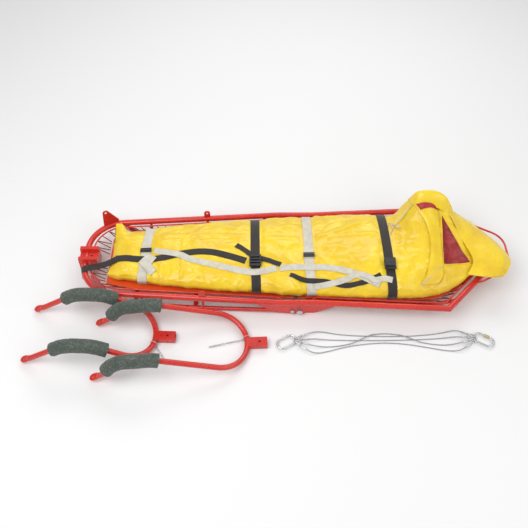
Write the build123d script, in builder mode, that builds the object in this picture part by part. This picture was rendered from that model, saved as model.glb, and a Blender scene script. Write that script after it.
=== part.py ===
from build123d import *
import math
import os

os.makedirs("parts", exist_ok=True)

# Rescue stretcher in two halves, with its laced bed, casualty bag and straps. Two shoulder yokes
# and a wire lifting bridle lie beside it on the ground. Millimetres. +X points to the casualty's
# head, +Y away from the yokes, +Z up. The origin is on the ground, in the middle of everything
# but the bridle's wires. Places are first given from the joint between the two halves.

# Frame tubes
rim_dia = 30.0
tube_wall = 2.0
rim_z = 90.0
foot_length = 1064.0
half_width_foot = 219.0
half_width_joint = 284.0
joint_straight = 90.0
easing_radius = 600.0
foot_bend_radius = 178.0
head_length = 960.0
nose_length = 228.0
head_corner_x = head_length - nose_length
half_width_head = 320.0
half_width_nose = 84.0
butt_gap = 0.3

# Skids, cross tubes and struts below the rim
skid_dia = 20.0
skid_turns = (45.0, 400.0)
strut_dia = 14.0
foot_skid_start = foot_length - 159.0
foot_skid_down = foot_length - 219.0
foot_skid_rise_start = 460.0
foot_skid_end = 128.0
foot_skid_end_z = 24.0
foot_cross_places = (-800.0, -500.0)
foot_strut_places = (-760.0, -460.0)
head_skid_inset = 70.0
head_skid_up = head_length - 305.0
head_skid_end = head_length - 180.0
head_cross_places = (60.0, 360.0, 640.0)
head_strut_places = (330.0, 600.0)

# Guard hoop round the nose
hoop_dia = 10.0
hoop_z = 130.0
hoop_reach = head_length + 106.0
hoop_start = head_length - 82.0
hoop_shoulder = head_length - 42.0
hoop_half_width = 182.0
hoop_nose = 98.0
hoop_turns = (24.0, 105.0, 105.0, 24.0)

# Bed sheet, inner lacing rod and lacing
bed_thick = 3.0
bed_z = 50.0
rod_dia = 8.0
rod_inset = 31.0
rod_end_gap = 62.0
rod_turn = 14.0
cord_dia = 5.0
cord_pitch = 46.0
cord_rod_gap = 0.4
cord_hem_gap = 7.6
lace_spread = 0.42
hem_turn = 14.0
foot_hem_places = ((14.0, 56.0), (foot_length - 324.0, 56.0), (foot_length - 114.0, 86.0))
head_hem_places = (
    (14.0, 56.0),
    (head_length - 360.0, 73.0),
    (head_length - 270.0, 86.0),
    (head_length - 160.0, 75.0),
    (head_length - 75.0, 66.0),
)
lace_trim = 0.06

# Lugs for lifting
lug_thick = 6.0
corner_lug_base = 82.0
corner_lug_height = 118.0
corner_lug_hole = 14.0
corner_lug_turn = 25.0
corner_lug_lean = 18.0
corner_lug_round = 16.0
rail_lug_x = 460.0
rail_lug_width = 32.0
rail_lug_height = 42.0
rail_lug_hole = 12.0

# Joint of the two halves
plate_thick = 5.0
plate_gap = 0.5
plate_reach_foot = 190.0
plate_lap = 40.0
plate_lap_top = 70.0
plate_top = 78.0
plate_dip_x = 8.0
plate_foot_length = 150.0
tongue_height = 40.0
plate_reach_head = 236.0
tongue_reach = 68.0
bolt_z = 32.0
bolt_dia = 12.0
bolt_fixed_x = -22.0
bolt_hand_x = 14.0
bolt_across = 19.0
nut_height = 10.0
hand_nut_dia = 31.0
hand_nut_height = 15.0
bolt_head_gap = 0.4
bolt_proud = 3.0
nut_seat_gap = 0.3
thread_gap = 0.15
knurl_dia = 5.0
knurl_count = 14
spigot_reach = 60.0
spigot_gap = 0.5
slot_clear = 1.0

# Sockets for the yokes
socket_width = 86.0
socket_wall = 5.0
socket_length = 94.0
socket_lead = 31.0
socket_top = 122.0
socket_bottom = 37.0
socket_notch = 36.0
socket_notch_z = 98.0
socket_pin_from_mouth = 59.0

# Yokes
yoke_dia = 27.0
yoke_bow_z = 18.5
pad_dia = 68.0
pad_bore_gap = 0.6
bow_roundness = 0.98
yoke_spigot_width = 50.0
yoke_spigot_height = 26.0
yoke_spigot_wall = 3.0
yoke_spigot_length = 96.0
yoke_pin_dia = 8.0
pin_hole_dia = 10.0
yoke_pin_length = 62.0
tip_z = 14.0
tip_tube = 14.0
tip_taper = 14.0
tip_width = 34.0
tip_thick = 8.0
tip_hole = 12.0
socket_clear = 1.0

# Long yoke: its bow's place, its turn, and the arm's profile as reach and height
long_bow = (-240.0, -470.0)
long_turn = 2.8
long_half_width = 150.0
long_reach = 730.0
long_profile = ((430.0, 152.0), (600.0, 142.0), (670.0, 44.0))
long_profile_radii = (140.0, 110.0, 40.0)
long_pad_start = 400.0
long_pad_length = 245.0
long_chain = (30.0, 6, -1, 0.0)

# Short yoke
short_bow = (-680.0, -433.0)
short_turn = -1.65
short_half_width = 143.0
short_reach = 616.0
short_profile = ((255.0, 150.0), (385.0, 153.0), (560.0, 38.0))
short_profile_radii = (140.0, 140.0, 60.0)
short_pad_start = 193.0
short_pad_length = 252.0
short_chain = (-39.0, 3, 1, -40.0)

# Chain that holds each yoke's pin
link_length = 22.0
link_width = 10.0
link_wire = 2.4
link_gap = 0.3
link_pitch = link_length - 2 * link_wire - link_gap
link_z = 5.2
ring_wire = 3.0
ring_gap = 1.9
pin_eye = 7.0
pin_ground_gap = 0.1

# Casualty bag: stations along the length, with half width and height of the top above the bed
bag_rest_gap = 0.3
bag_stations = (
    (-foot_length + 129.0, 118.0, 34.0),
    (-foot_length + 214.0, 148.0, 88.0),
    (-foot_length + 324.0, 172.0, 96.0),
    (-foot_length * 0.51, 196.0, 108.0),
    (-foot_length * 0.2, 226.0, 118.0),
    (60.0, 246.0, 126.0),
    (head_length * 0.45, 262.0, 132.0),
    (head_length * 0.58, 262.0, 134.0),
)
hood_start = head_length * 0.58 + 0.3
bag_keel = 28.0
bag_side_height = 46.0
bag_steps = 5
bag_power = 2.5

# Hood at the head end. A station has its place along, the height of its floor above the bed, the
# near and far ends of its base and its widest places, then the near shoulder, the ridge and the
# far shoulder as a place across and a height
hood_stations = (
    (hood_start, 0.0, -234.0, 234.0, -262.0, 262.0, (-244.0, 84.0), (30.0, 134.0), (232.0, 96.0)),
    (head_length * 0.7, 0.0, -218.0, 222.0, -246.0, 262.0, (-222.0, 84.0), (196.0, 286.0), (262.0, 180.0)),
    (head_length - 200.0, 0.0, -174.0, 186.0, -206.0, 224.0, (-182.0, 86.0), (128.0, 276.0), (222.0, 160.0)),
    (head_length - 100.0, 0.0, -98.0, 98.0, -126.0, 126.0, (-150.0, 92.0), (30.0, 150.0), (170.0, 104.0)),
    (head_length - 76.0, 0.0, -84.0, 84.0, -108.0, 108.0, (-138.0, 92.0), (28.0, 136.0), (156.0, 100.0)),
    (head_length - 70.0, 74.0, -84.0, 84.0, -108.0, 108.0, (-134.0, 92.0), (26.0, 132.0), (152.0, 98.0)),
    (head_length - 30.0, 76.0, -80.0, 80.0, -100.0, 110.0, (-112.0, 92.0), (20.0, 112.0), (132.0, 94.0)),
)
hood_mouth = ((head_length - 248.0, -118.0), (head_length - 118.0, -96.0), (head_length - 212.0, 150.0))
hood_mouth_floor = 34.0
hood_mouth_depth = 300.0
flap_z = 150.0
flap_thick = 12.0
flap_outline = (
    (head_length - 80.0, -196.0),
    (head_length + 25.0, -204.0),
    (head_length + 52.0, -168.0),
    (head_length + 104.0, -70.0),
    (head_length + 58.0, 62.0),
    (head_length - 36.0, 182.0),
    (head_length - 80.0, 160.0),
)

# Webbing
webbing_width = 48.0
webbing_thick = 2.6
webbing_gap = 0.3
strap_tuck = 5.0
cross_straps = {
    "strap_foot_cream": -foot_length + 312.0,
    "strap_foot_black": -203.0,
    "strap_head_cream": 62.0,
    "strap_head_black": 455.0,
}
long_straps = {
    "strap_long_foot_cream": (
        (
            (-foot_length + 364.0, -13.0), (-573.0, -36.0), (-466.0, -78.0),
            (-356.0, -124.0), (-228.0, -157.0), (-95.0, -132.0),
        ),
        34.0,
    ),
    "strap_long_head_cream": (
        ((-88.0, -131.0), (16.0, -131.0), (143.0, -110.0), (290.0, -160.0), (400.0, -196.0)),
        34.0,
    ),
    "strap_long_head_black": (((-34.0, -176.0), (32.0, -200.0), (166.0, -214.0), (300.0, -206.0)), 26.0),
}
foot_black_points = (
    (-foot_length + 169.0, -44.0), (-foot_length + 257.0, -50.0), (-foot_length + 364.0, -58.0),
    (-588.0, -66.0), (-480.0, -30.0), (-358.0, -30.0), (-240.0, -60.0),
)
tail_width = 38.0
tail_points = ((-foot_length + 182.0, -42.0), (-foot_length - 21.0, -96.0))
tail_profile = (
    (0.0, 128.0),
    (20.0, 118.0),
    (110.0, 101.0),
    (178.0, 106.0),
    (200.0, 106.0),
    (214.0, 92.0),
    (218.0, 44.0),
)

# Buckles: place along, place across
slider_length = 56.0
slider_width = 24.0
slider_thick = 5.0
slider_slot = 46.0
slider_foot_place = (-foot_length + 312.0, -8.0)
slider_head_place = (62.0, -60.0)
ladder_length = 58.0
ladder_width = 66.0
ladder_thick = 11.0
ladder_place = (-203.0, -92.0)
release_width = 56.0
release_length = 46.0
release_height = 14.0
release_wall = 3.0
release_place = (455.0, -112.0)
prong_length = 30.0
prong_bar = 16.0
prong_leg = 8.0
prong_gap = 0.3

# Bridle
wire_dia = 5.0
karabiner_bar = 9.0
karabiner_length = 104.0
karabiner_width = 60.0
karabiner_corner = 23.0
karabiner_z = 10.5
gate_length = 46.0
gate_gap = 0.5
sleeve_dia = 15.0
sleeve_length = 26.0
eye_length = 44.0
eye_height = 20.6
ferrule_dia = 9.0
ferrule_length = 30.0
karabiner_left = (-52.0, -458.0)
karabiner_left_turn = 30.0
karabiner_right = (893.0, -446.0)
karabiner_right_turn = -30.0
eye_fan = (6.0, 26.0, 46.0, 66.0)
eye_gap = 0.3
gate_dia = 8.0
rivet_dia = 1.8
rivet_proud = 0.4
sleeve_gap = 0.2
sleeve_shift = 5.0
wire_lead = 26.0
cord_widest = 600.0
wire_points = (
    (
        (125.0, -396.0, 2.7), (190.0, -412.0, 2.6), (310.0, -421.0, 2.6), (500.0, -424.0, 2.6),
        (640.0, -414.0, 2.6), (715.0, -400.0, 2.7),
    ),
    (
        (125.0, -441.0, 2.7), (190.0, -444.0, 2.6), (301.0, -446.0, 2.6), (500.0, -444.0, 2.6),
        (640.0, -438.0, 2.6), (712.0, -432.0, 2.7),
    ),
    (
        (125.0, -482.0, 2.7), (180.0, -480.0, 2.6), (250.0, -466.0, 2.8), (272.0, -460.0, 8.6),
        (352.0, -418.0, 8.6), (372.0, -411.0, 2.8), (430.0, -406.0, 2.6), (484.0, -413.0, 2.8),
        (504.0, -419.0, 8.6), (572.0, -450.0, 8.6), (592.0, -456.0, 2.8), (650.0, -468.0, 2.6),
        (712.0, -472.0, 2.7),
    ),
    (
        (98.0, -517.0, 2.7), (150.0, -505.0, 2.6), (240.0, -478.0, 2.6), (380.0, -458.0, 2.6),
        (500.0, -462.0, 2.6), (620.0, -484.0, 2.6), (690.0, -499.0, 2.6), (740.0, -505.0, 2.7),
    ),
)


def yoke_tip(bow, turn, reach, half_width, side):
    """The outer end of one arm, measured from the joint of the stretcher."""
    angle = math.radians(turn)
    along = bow[0] - reach * math.cos(angle) - side * half_width * math.sin(angle)
    across = bow[1] - reach * math.sin(angle) + side * half_width * math.cos(angle)
    return along, across


# The middle of everything, measured from the joint of the stretcher
left_edge = yoke_tip(short_bow, short_turn, short_reach, short_half_width, -1)[0]
right_edge = hoop_reach + hoop_dia / 2
near_edge = yoke_tip(long_bow, long_turn, long_pad_start + long_pad_length, long_half_width, -1)[1]
near_edge = near_edge - pad_dia / 2
far_edge = half_width_head + rim_dia / 2
middle_x = (left_edge + right_edge) / 2
middle_y = (near_edge + far_edge) / 2


def spot(x, y, z=0.0):
    """A point given from the joint of the two halves, as a point of the part."""
    return Vector(x - middle_x, y - middle_y, z)


def rail_y(x):
    """Half the width of the frame, to the middle of the rim tube."""
    if abs(x) <= joint_straight:
        return half_width_joint
    if x < 0:
        share = (-x - joint_straight) / (foot_length - joint_straight)
        return half_width_joint + share * (half_width_foot - half_width_joint)
    share = (x - joint_straight) / (head_corner_x - joint_straight)
    return half_width_joint + share * (half_width_head - half_width_joint)


def nose_y(x):
    """Half the width of the frame along the slanting tubes of the nose."""
    share = (x - head_corner_x) / (head_length - head_corner_x)
    return half_width_head + share * (half_width_nose - half_width_head)


def save(part, label):
    """Labels a finished piece and writes it."""
    part.label = label
    export_step(part, f"parts/{label}.step")


def tube(points, radii, outer, bore=0.0, corner=Transition.TRANSFORMED):
    """A round bar or tube along straight runs that meet in arcs, or in mitres where no radius is given."""
    with BuildPart() as piece:
        with BuildLine() as route:
            if radii:
                FilletPolyline(*points, radius=radii)
            else:
                Polyline(*points)
        start = Plane(origin=route.line @ 0, z_dir=route.line % 0)
        with BuildSketch(start):
            Circle(outer / 2)
            if bore:
                Circle(bore / 2, mode=Mode.SUBTRACT)
        sweep(transition=corner)
    return piece.part


def rod(start, end, diameter):
    """A straight round bar between two points."""
    with BuildPart() as piece:
        with BuildSketch(Plane(origin=start, z_dir=end - start)):
            Circle(diameter / 2)
        extrude(amount=(end - start).length)
    return piece.part


def slab(x_low, x_high, y_low, y_high, z_low, z_high):
    """An upright box between places given from the joint."""
    with BuildPart() as block:
        with BuildSketch(Plane(origin=spot((x_low + x_high) / 2, (y_low + y_high) / 2, z_low))):
            Rectangle(x_high - x_low, y_high - y_low)
        extrude(amount=z_high - z_low)
    return block.part


# Rim of the foot half: one tube bent round the foot end
foot_rim_points = (
    spot(-butt_gap / 2, -half_width_joint, rim_z),
    spot(-joint_straight, -half_width_joint, rim_z),
    spot(-foot_length, -half_width_foot, rim_z),
    spot(-foot_length, half_width_foot, rim_z),
    spot(-joint_straight, half_width_joint, rim_z),
    spot(-butt_gap / 2, half_width_joint, rim_z),
)
rim_bore = rim_dia - 2 * tube_wall
foot_rim_radii = (easing_radius, foot_bend_radius, foot_bend_radius, easing_radius)
foot_rim = tube(foot_rim_points, foot_rim_radii, rim_dia, rim_bore)
foot_rim_outside = tube(foot_rim_points, foot_rim_radii, rim_dia)
save(foot_rim, "foot_rim")

# Rim of the head half: mitred at the corners
head_rim_points = (
    spot(butt_gap / 2, -half_width_joint, rim_z),
    spot(joint_straight, -half_width_joint, rim_z),
    spot(head_corner_x, -half_width_head, rim_z),
    spot(head_length, -half_width_nose, rim_z),
    spot(head_length, half_width_nose, rim_z),
    spot(head_corner_x, half_width_head, rim_z),
    spot(joint_straight, half_width_joint, rim_z),
    spot(butt_gap / 2, half_width_joint, rim_z),
)
head_rim = tube(head_rim_points, None, rim_dia, rim_bore, Transition.RIGHT)
head_rim_outside = tube(head_rim_points, None, rim_dia, 0.0, Transition.RIGHT)
save(head_rim, "head_rim")

# Spigots fixed in the head rails, which enter the foot rails with a little play
sides = ((-1, "near"), (1, "far"))
spigots = []
for side, name in sides:
    root = spot(0, side * half_width_joint, rim_z)
    fixed_end = rod(root, root + Vector(spigot_reach, 0, 0), rim_bore)
    free_end = rod(root, root - Vector(spigot_reach, 0, 0), rim_bore - 2 * spigot_gap)
    spigots.append(fixed_end + free_end)
save(Compound(children=spigots), "rail_spigots")


def inset(outline, distance):
    """An open outline in plan, moved sideways by a distance. Positive moves it to the left of its run."""
    moved = []
    last = len(outline) - 1
    for index, corner in enumerate(outline):
        before = (outline[index] - outline[index - 1]) if index > 0 else (outline[1] - outline[0])
        after = (outline[index + 1] - outline[index]) if index < last else before
        normal_before = before.normalized().cross(Vector(0, 0, -1))
        normal_after = after.normalized().cross(Vector(0, 0, -1))
        bisector = normal_before + normal_after
        moved.append(corner + bisector * (distance / (1 + normal_before.dot(normal_after))))
    return moved


def route_wire(points, radii):
    """The line that a rod or a hem follows."""
    with BuildLine() as route:
        FilletPolyline(*points, radius=radii)
    return route.wire()


def lacing(rod_route, hem_route, pairs, keep_out):
    """Straight legs of cord, to and fro between the inner rod and the hem of the bed."""
    legs = []
    for index in range(pairs):
        middle = lace_trim + (1 - 2 * lace_trim) * (index + 0.5) / pairs
        hem_point = hem_route @ middle
        hem_way = hem_route % middle
        for shift in (-1, 1):
            rod_point = rod_route @ (middle + shift * lace_spread / pairs)
            hem_end = hem_point + hem_way * (shift * cord_dia)
            way = (hem_end - rod_point).normalized()
            flat_way = Vector(way.X, way.Y, 0).normalized()
            along = abs(way.dot(rod_route % (middle + shift * lace_spread / pairs)))
            aside = rod_dia / 2 + cord_rod_gap + cord_dia / 2 * along
            start = rod_point + way * (aside / math.sqrt(1 - along ** 2))
            leg = rod(start, hem_end - flat_way * cord_hem_gap, cord_dia)
            if all(leg.distance_to(other) > cord_rod_gap for other in keep_out):
                legs.append(leg)
    return Compound(children=legs)


# Inner rod and bed of the foot half
foot_rod_points = inset(foot_rim_points[1:5], -rod_inset)
foot_rod_points = (
    [spot(-rod_end_gap, -half_width_joint, rim_z)]
    + foot_rod_points
    + [spot(-rod_end_gap, half_width_joint, rim_z)]
)
foot_rod_radii = (rod_turn, foot_bend_radius - rod_inset, foot_bend_radius - rod_inset, rod_turn)
foot_rod_route = route_wire(foot_rod_points, foot_rod_radii)
foot_rod = tube(foot_rod_points, foot_rod_radii, rod_dia) - foot_rim_outside
foot_block = slab(
    -foot_length - socket_lead, -foot_length - socket_lead + socket_length,
    -socket_width / 2, socket_width / 2, socket_bottom, socket_top,
)
save(foot_rod - foot_block, "foot_lacing_rod")

bed_top = bed_z + bed_thick
foot_hem_half = [(-x, rail_y(-x) - inset_y) for x, inset_y in foot_hem_places]
head_hem_half = []
for x, inset_y in head_hem_places:
    edge = rail_y(x) if x < head_corner_x else nose_y(x)
    head_hem_half.append((x, edge - inset_y))


def hem_outline(half):
    """Both sides of a bed's edge in plan, from the near side of the joint round to its far side."""
    near = [spot(x, -y, bed_top) for x, y in half]
    far = [spot(x, y, bed_top) for x, y in reversed(half)]
    return near + far


def bed_sheet(outline):
    """A bed sheet with the given edge."""
    with BuildPart() as sheet:
        with BuildSketch(Plane.XY.offset(bed_z)):
            with BuildLine():
                Polyline(*[(point.X, point.Y) for point in outline], close=True)
            make_face()
        extrude(amount=bed_thick)
    return sheet.part


foot_hem = hem_outline(foot_hem_half)
head_hem = hem_outline(head_hem_half)
foot_bed = bed_sheet(foot_hem)
head_bed = bed_sheet(head_hem)
save(foot_bed, "foot_bed")
save(head_bed, "head_bed")
foot_hem_route = route_wire(foot_hem, hem_turn)
foot_pairs = round(foot_hem_route.length / cord_pitch)
foot_keep_out = (foot_block, foot_rim_outside, foot_bed)
save(lacing(foot_rod_route, foot_hem_route, foot_pairs, foot_keep_out), "foot_lacing")

# Inner rod and lacing of the head half
head_rod_points = inset(head_rim_points[1:7], rod_inset)
head_rod_points = (
    [spot(rod_end_gap, -half_width_joint, rim_z)]
    + head_rod_points
    + [spot(rod_end_gap, half_width_joint, rim_z)]
)
head_rod_radii = [rod_turn] * (len(head_rod_points) - 2)
head_rod_route = route_wire(head_rod_points, head_rod_radii)
head_rod = tube(head_rod_points, head_rod_radii, rod_dia) - head_rim_outside
head_block = slab(
    head_length + socket_lead - socket_length, head_length + socket_lead,
    -socket_width / 2, socket_width / 2, socket_bottom, socket_top,
)
save(head_rod - head_block, "head_lacing_rod")
head_hem_route = route_wire(head_hem, hem_turn)
head_pairs = round(head_hem_route.length / cord_pitch)

# Skids, cross tubes and struts
skid_bore = skid_dia - 2 * tube_wall
foot_skids = {}
head_skids = {}
foot_skid_tubes = []
head_skid_tubes = []
for side, name in sides:
    foot_skid_route = (
        spot(-foot_skid_start, side * rail_y(-foot_skid_start), rim_z),
        spot(-foot_skid_down, side * rail_y(-foot_skid_down), skid_dia / 2),
        spot(-foot_skid_rise_start, side * rail_y(-foot_skid_rise_start), skid_dia / 2),
        spot(-foot_skid_end, side * rail_y(-foot_skid_end), foot_skid_end_z),
    )
    foot_skids[side] = tube(foot_skid_route, skid_turns, skid_dia)
    foot_skid_tubes.append(tube(foot_skid_route, skid_turns, skid_dia, skid_bore) - foot_rim_outside)
    head_skid_y = side * (rail_y(head_skid_up) - head_skid_inset)
    head_skid_route = (
        spot(head_cross_places[0], side * (half_width_joint - head_skid_inset), skid_dia / 2),
        spot(head_skid_up, head_skid_y, skid_dia / 2),
        spot(head_skid_end, side * nose_y(head_skid_end), rim_z),
    )
    head_skids[side] = tube(head_skid_route, skid_turns[:1], skid_dia)
    head_skid = tube(head_skid_route, skid_turns[:1], skid_dia, skid_bore) - head_rim_outside
    first_cross = rod(
        spot(head_cross_places[0], -half_width_joint, skid_dia / 2),
        spot(head_cross_places[0], half_width_joint, skid_dia / 2),
        skid_dia,
    )
    head_skid_tubes.append(head_skid - first_cross)
save(Compound(children=foot_skid_tubes), "foot_skids")
save(Compound(children=head_skid_tubes), "head_skids")
head_keep_out = [head_block, head_rim_outside, head_bed] + list(head_skids.values())
save(lacing(head_rod_route, head_hem_route, head_pairs, head_keep_out), "head_lacing")


def cross_tube(x, half_width, skids):
    """A tube across the frame that ends on the skids."""
    ends = (spot(x, -half_width, skid_dia / 2), spot(x, half_width, skid_dia / 2))
    bar = tube(ends, None, skid_dia, skid_bore)
    for skid in skids:
        bar = bar - skid
    return bar.solids().sort_by(SortBy.VOLUME)[-1]


foot_cross = [cross_tube(x, rail_y(x), foot_skids.values()) for x in foot_cross_places]
plate_inner_face = half_width_joint - plate_gap / 2 - plate_thick
head_cross = [cross_tube(head_cross_places[0], plate_inner_face, ())]
for x in head_cross_places[1:]:
    head_cross.append(cross_tube(x, rail_y(x) - head_skid_inset, head_skids.values()))

foot_struts = []
head_struts = []
for side, name in sides:
    for x in foot_strut_places:
        post = rod(spot(x, side * rail_y(x), skid_dia / 2), spot(x, side * rail_y(x), rim_z), strut_dia)
        foot_struts.append(post - foot_rim_outside - foot_skids[side])
    for x in head_strut_places:
        low = spot(x, side * (rail_y(x) - head_skid_inset), skid_dia / 2)
        post = rod(low, spot(x, side * rail_y(x), rim_z), strut_dia)
        head_struts.append(post - head_rim_outside - head_skids[side])
save(Compound(children=foot_cross + foot_struts), "foot_braces")
save(Compound(children=head_cross + head_struts), "head_braces")

# Guard hoop round the nose
hoop_points = (
    spot(hoop_start, -nose_y(hoop_start), rim_z),
    spot(hoop_shoulder, -hoop_half_width, hoop_z),
    spot(hoop_reach, -hoop_nose, hoop_z),
    spot(hoop_reach, hoop_nose, hoop_z),
    spot(hoop_shoulder, hoop_half_width, hoop_z),
    spot(hoop_start, nose_y(hoop_start), rim_z),
)
save(tube(hoop_points, hoop_turns, hoop_dia) - head_rim_outside, "guard_hoop")

# Lugs at the foot corners, upright on the bend of the rim
slant = math.atan2(half_width_joint - half_width_foot, foot_length - joint_straight)
bend_tangent = foot_bend_radius * math.tan((math.pi / 2 - slant) / 2)
bend_x = -foot_length + foot_bend_radius
bend_y = half_width_foot - bend_tangent
lug_turn = math.radians(corner_lug_turn)
corner_lugs = []
rail_lugs = []
for side, name in sides:
    lug_x = bend_x - foot_bend_radius * math.sin(lug_turn)
    lug_y = side * (bend_y + foot_bend_radius * math.cos(lug_turn))
    lug_plane = Plane(
        origin=spot(lug_x, lug_y, rim_z),
        x_dir=(math.cos(lug_turn), side * math.sin(lug_turn), 0),
        z_dir=(side * math.sin(lug_turn), -math.cos(lug_turn), 0),
    )
    with BuildPart() as corner_lug:
        with BuildSketch(lug_plane):
            with Locations((-corner_lug_lean, corner_lug_height - corner_lug_round)):
                Circle(corner_lug_round)
            with Locations((0, rim_dia / 2)):
                Rectangle(corner_lug_base, rim_dia)
            make_hull()
            with Locations((-corner_lug_lean, corner_lug_height - corner_lug_round)):
                Circle(corner_lug_hole / 2, mode=Mode.SUBTRACT)
        extrude(amount=lug_thick / 2, both=True)
    corner_lugs.append(corner_lug.part - foot_rim_outside)

    rail_turn = side * slant
    rail_plane = Plane(
        origin=spot(-rail_lug_x, side * rail_y(-rail_lug_x), rim_z),
        x_dir=(math.cos(rail_turn), math.sin(rail_turn), 0),
        z_dir=(math.sin(rail_turn), -math.cos(rail_turn), 0),
    )
    with BuildPart() as rail_lug:
        with BuildSketch(rail_plane):
            with Locations((0, rail_lug_height)):
                Circle(rail_lug_width / 2)
            with Locations((0, rail_lug_height / 2)):
                Rectangle(rail_lug_width, rail_lug_height)
            with Locations((0, rail_lug_height)):
                Circle(rail_lug_hole / 2, mode=Mode.SUBTRACT)
        extrude(amount=lug_thick / 2, both=True)
    rail_lugs.append(rail_lug.part - foot_rim_outside)
save(Compound(children=corner_lugs), "corner_lugs")
save(Compound(children=rail_lugs), "rail_lugs")

# Joint plates. The foot half's plate is outside, the head half's plate ends in a slotted tongue inside it
foot_plate_outline = (
    (-plate_reach_foot, rim_z),
    (-plate_reach_foot, plate_top),
    (-foot_skid_end, foot_skid_end_z + skid_dia / 2 - 2 * tube_wall),
    (-foot_skid_end, foot_skid_end_z - skid_dia / 2 + 2 * tube_wall),
    (-plate_dip_x, 0),
    (plate_lap, 0),
    (plate_lap, plate_lap_top),
    (-butt_gap, plate_lap_top),
    (-butt_gap, rim_z),
)
head_plate_outline = (
    (butt_gap, rim_z),
    (butt_gap, bolt_z + tongue_height / 2),
    (-tongue_reach, bolt_z + tongue_height / 2),
    (-tongue_reach, bolt_z - tongue_height / 2),
    (plate_lap, 0),
    (plate_reach_head - plate_foot_length, 0),
    (plate_reach_head, plate_top),
    (plate_reach_head, rim_z),
)


def plate(outline, side, face):
    """An upright plate along the frame, whose inner face lies at the given distance from the middle."""
    near_face = face if side < 0 else face + plate_thick
    plane = Plane(origin=spot(0, side * near_face, 0), x_dir=(1, 0, 0), z_dir=(0, -1, 0))
    with BuildPart() as sheet:
        with BuildSketch(plane):
            with BuildLine():
                Polyline(*outline, close=True)
            make_face()
        extrude(amount=plate_thick)
    return sheet.part


def across_bar(x, z, side, inner, outer, diameter):
    """A round bar across the frame on one side, between two distances from the middle."""
    return rod(spot(x, side * inner, z), spot(x, side * outer, z), diameter)


def nut_blank(x, side, face, height, section):
    """A nut or head of the given section, that stands out from a face of a joint plate."""
    plane = Plane(origin=spot(x, side * face, bolt_z), x_dir=(1, 0, 0), z_dir=(0, side, 0))
    with BuildPart() as blank:
        with BuildSketch(plane):
            add(section)
        extrude(amount=height)
    return blank.part


with BuildSketch() as hexagon:
    RegularPolygon(bolt_across / 2, 6, major_radius=False)
with BuildSketch() as knurled:
    Circle(hand_nut_dia / 2)
    with PolarLocations(hand_nut_dia / 2 + knurl_dia / 4, knurl_count):
        Circle(knurl_dia / 2, mode=Mode.SUBTRACT)

outer_face = half_width_joint + plate_gap / 2
bolts = []
fixed_nuts = []
for side, name in sides:
    foot_plate = plate(foot_plate_outline, side, outer_face) - foot_rim_outside - foot_skids[side]
    head_plate = plate(head_plate_outline, side, plate_inner_face) - head_rim_outside
    slot_end = bolt_hand_x + bolt_dia / 2 + slot_clear
    slot_width = bolt_dia + 2 * slot_clear
    slot_plane = Plane(origin=spot(0, 0, bolt_z), x_dir=(1, 0, 0), z_dir=(0, side, 0))
    with BuildPart() as slot:
        with BuildSketch(slot_plane):
            with Locations((slot_end - slot_width / 2, 0)):
                Circle(slot_width / 2)
            with Locations(((slot_end - slot_width / 2 - tongue_reach * 1.5) / 2, 0)):
                Rectangle(slot_end - slot_width / 2 + tongue_reach * 1.5, slot_width)
        extrude(amount=half_width_joint * 2)
    head_plate = head_plate - slot.part
    for x in (bolt_fixed_x, bolt_hand_x):
        foot_plate = foot_plate - across_bar(x, bolt_z, side, 0, half_width_joint * 2, bolt_dia)
        head_side = plate_inner_face - bolt_head_gap
        nut_top = nut_height if x == bolt_fixed_x else hand_nut_height
        shank_end = outer_face + plate_thick + nut_top + bolt_proud
        shank = across_bar(x, bolt_z, side, head_side, shank_end, bolt_dia)
        head = nut_blank(x, side, head_side - nut_height * 0.7, nut_height * 0.7, hexagon.sketch)
        bolts.append(shank + head)
    bore = across_bar(bolt_fixed_x, bolt_z, side, 0, half_width_joint * 2, bolt_dia)
    nut = nut_blank(bolt_fixed_x, side, outer_face + plate_thick, nut_height, hexagon.sketch)
    fixed_nuts.append(nut - bore)
    save(foot_plate, f"foot_joint_plate_{name}")
    save(head_plate, f"head_joint_plate_{name}")
    hand_face = outer_face + plate_thick + nut_seat_gap
    hand_nut = nut_blank(bolt_hand_x, side, hand_face, hand_nut_height, knurled.sketch)
    hand_bore = across_bar(bolt_hand_x, bolt_z, side, 0, half_width_joint * 2, bolt_dia + 2 * thread_gap)
    save(hand_nut - hand_bore, f"hand_nut_{name}")
save(Compound(children=bolts + fixed_nuts), "joint_bolts")

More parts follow.
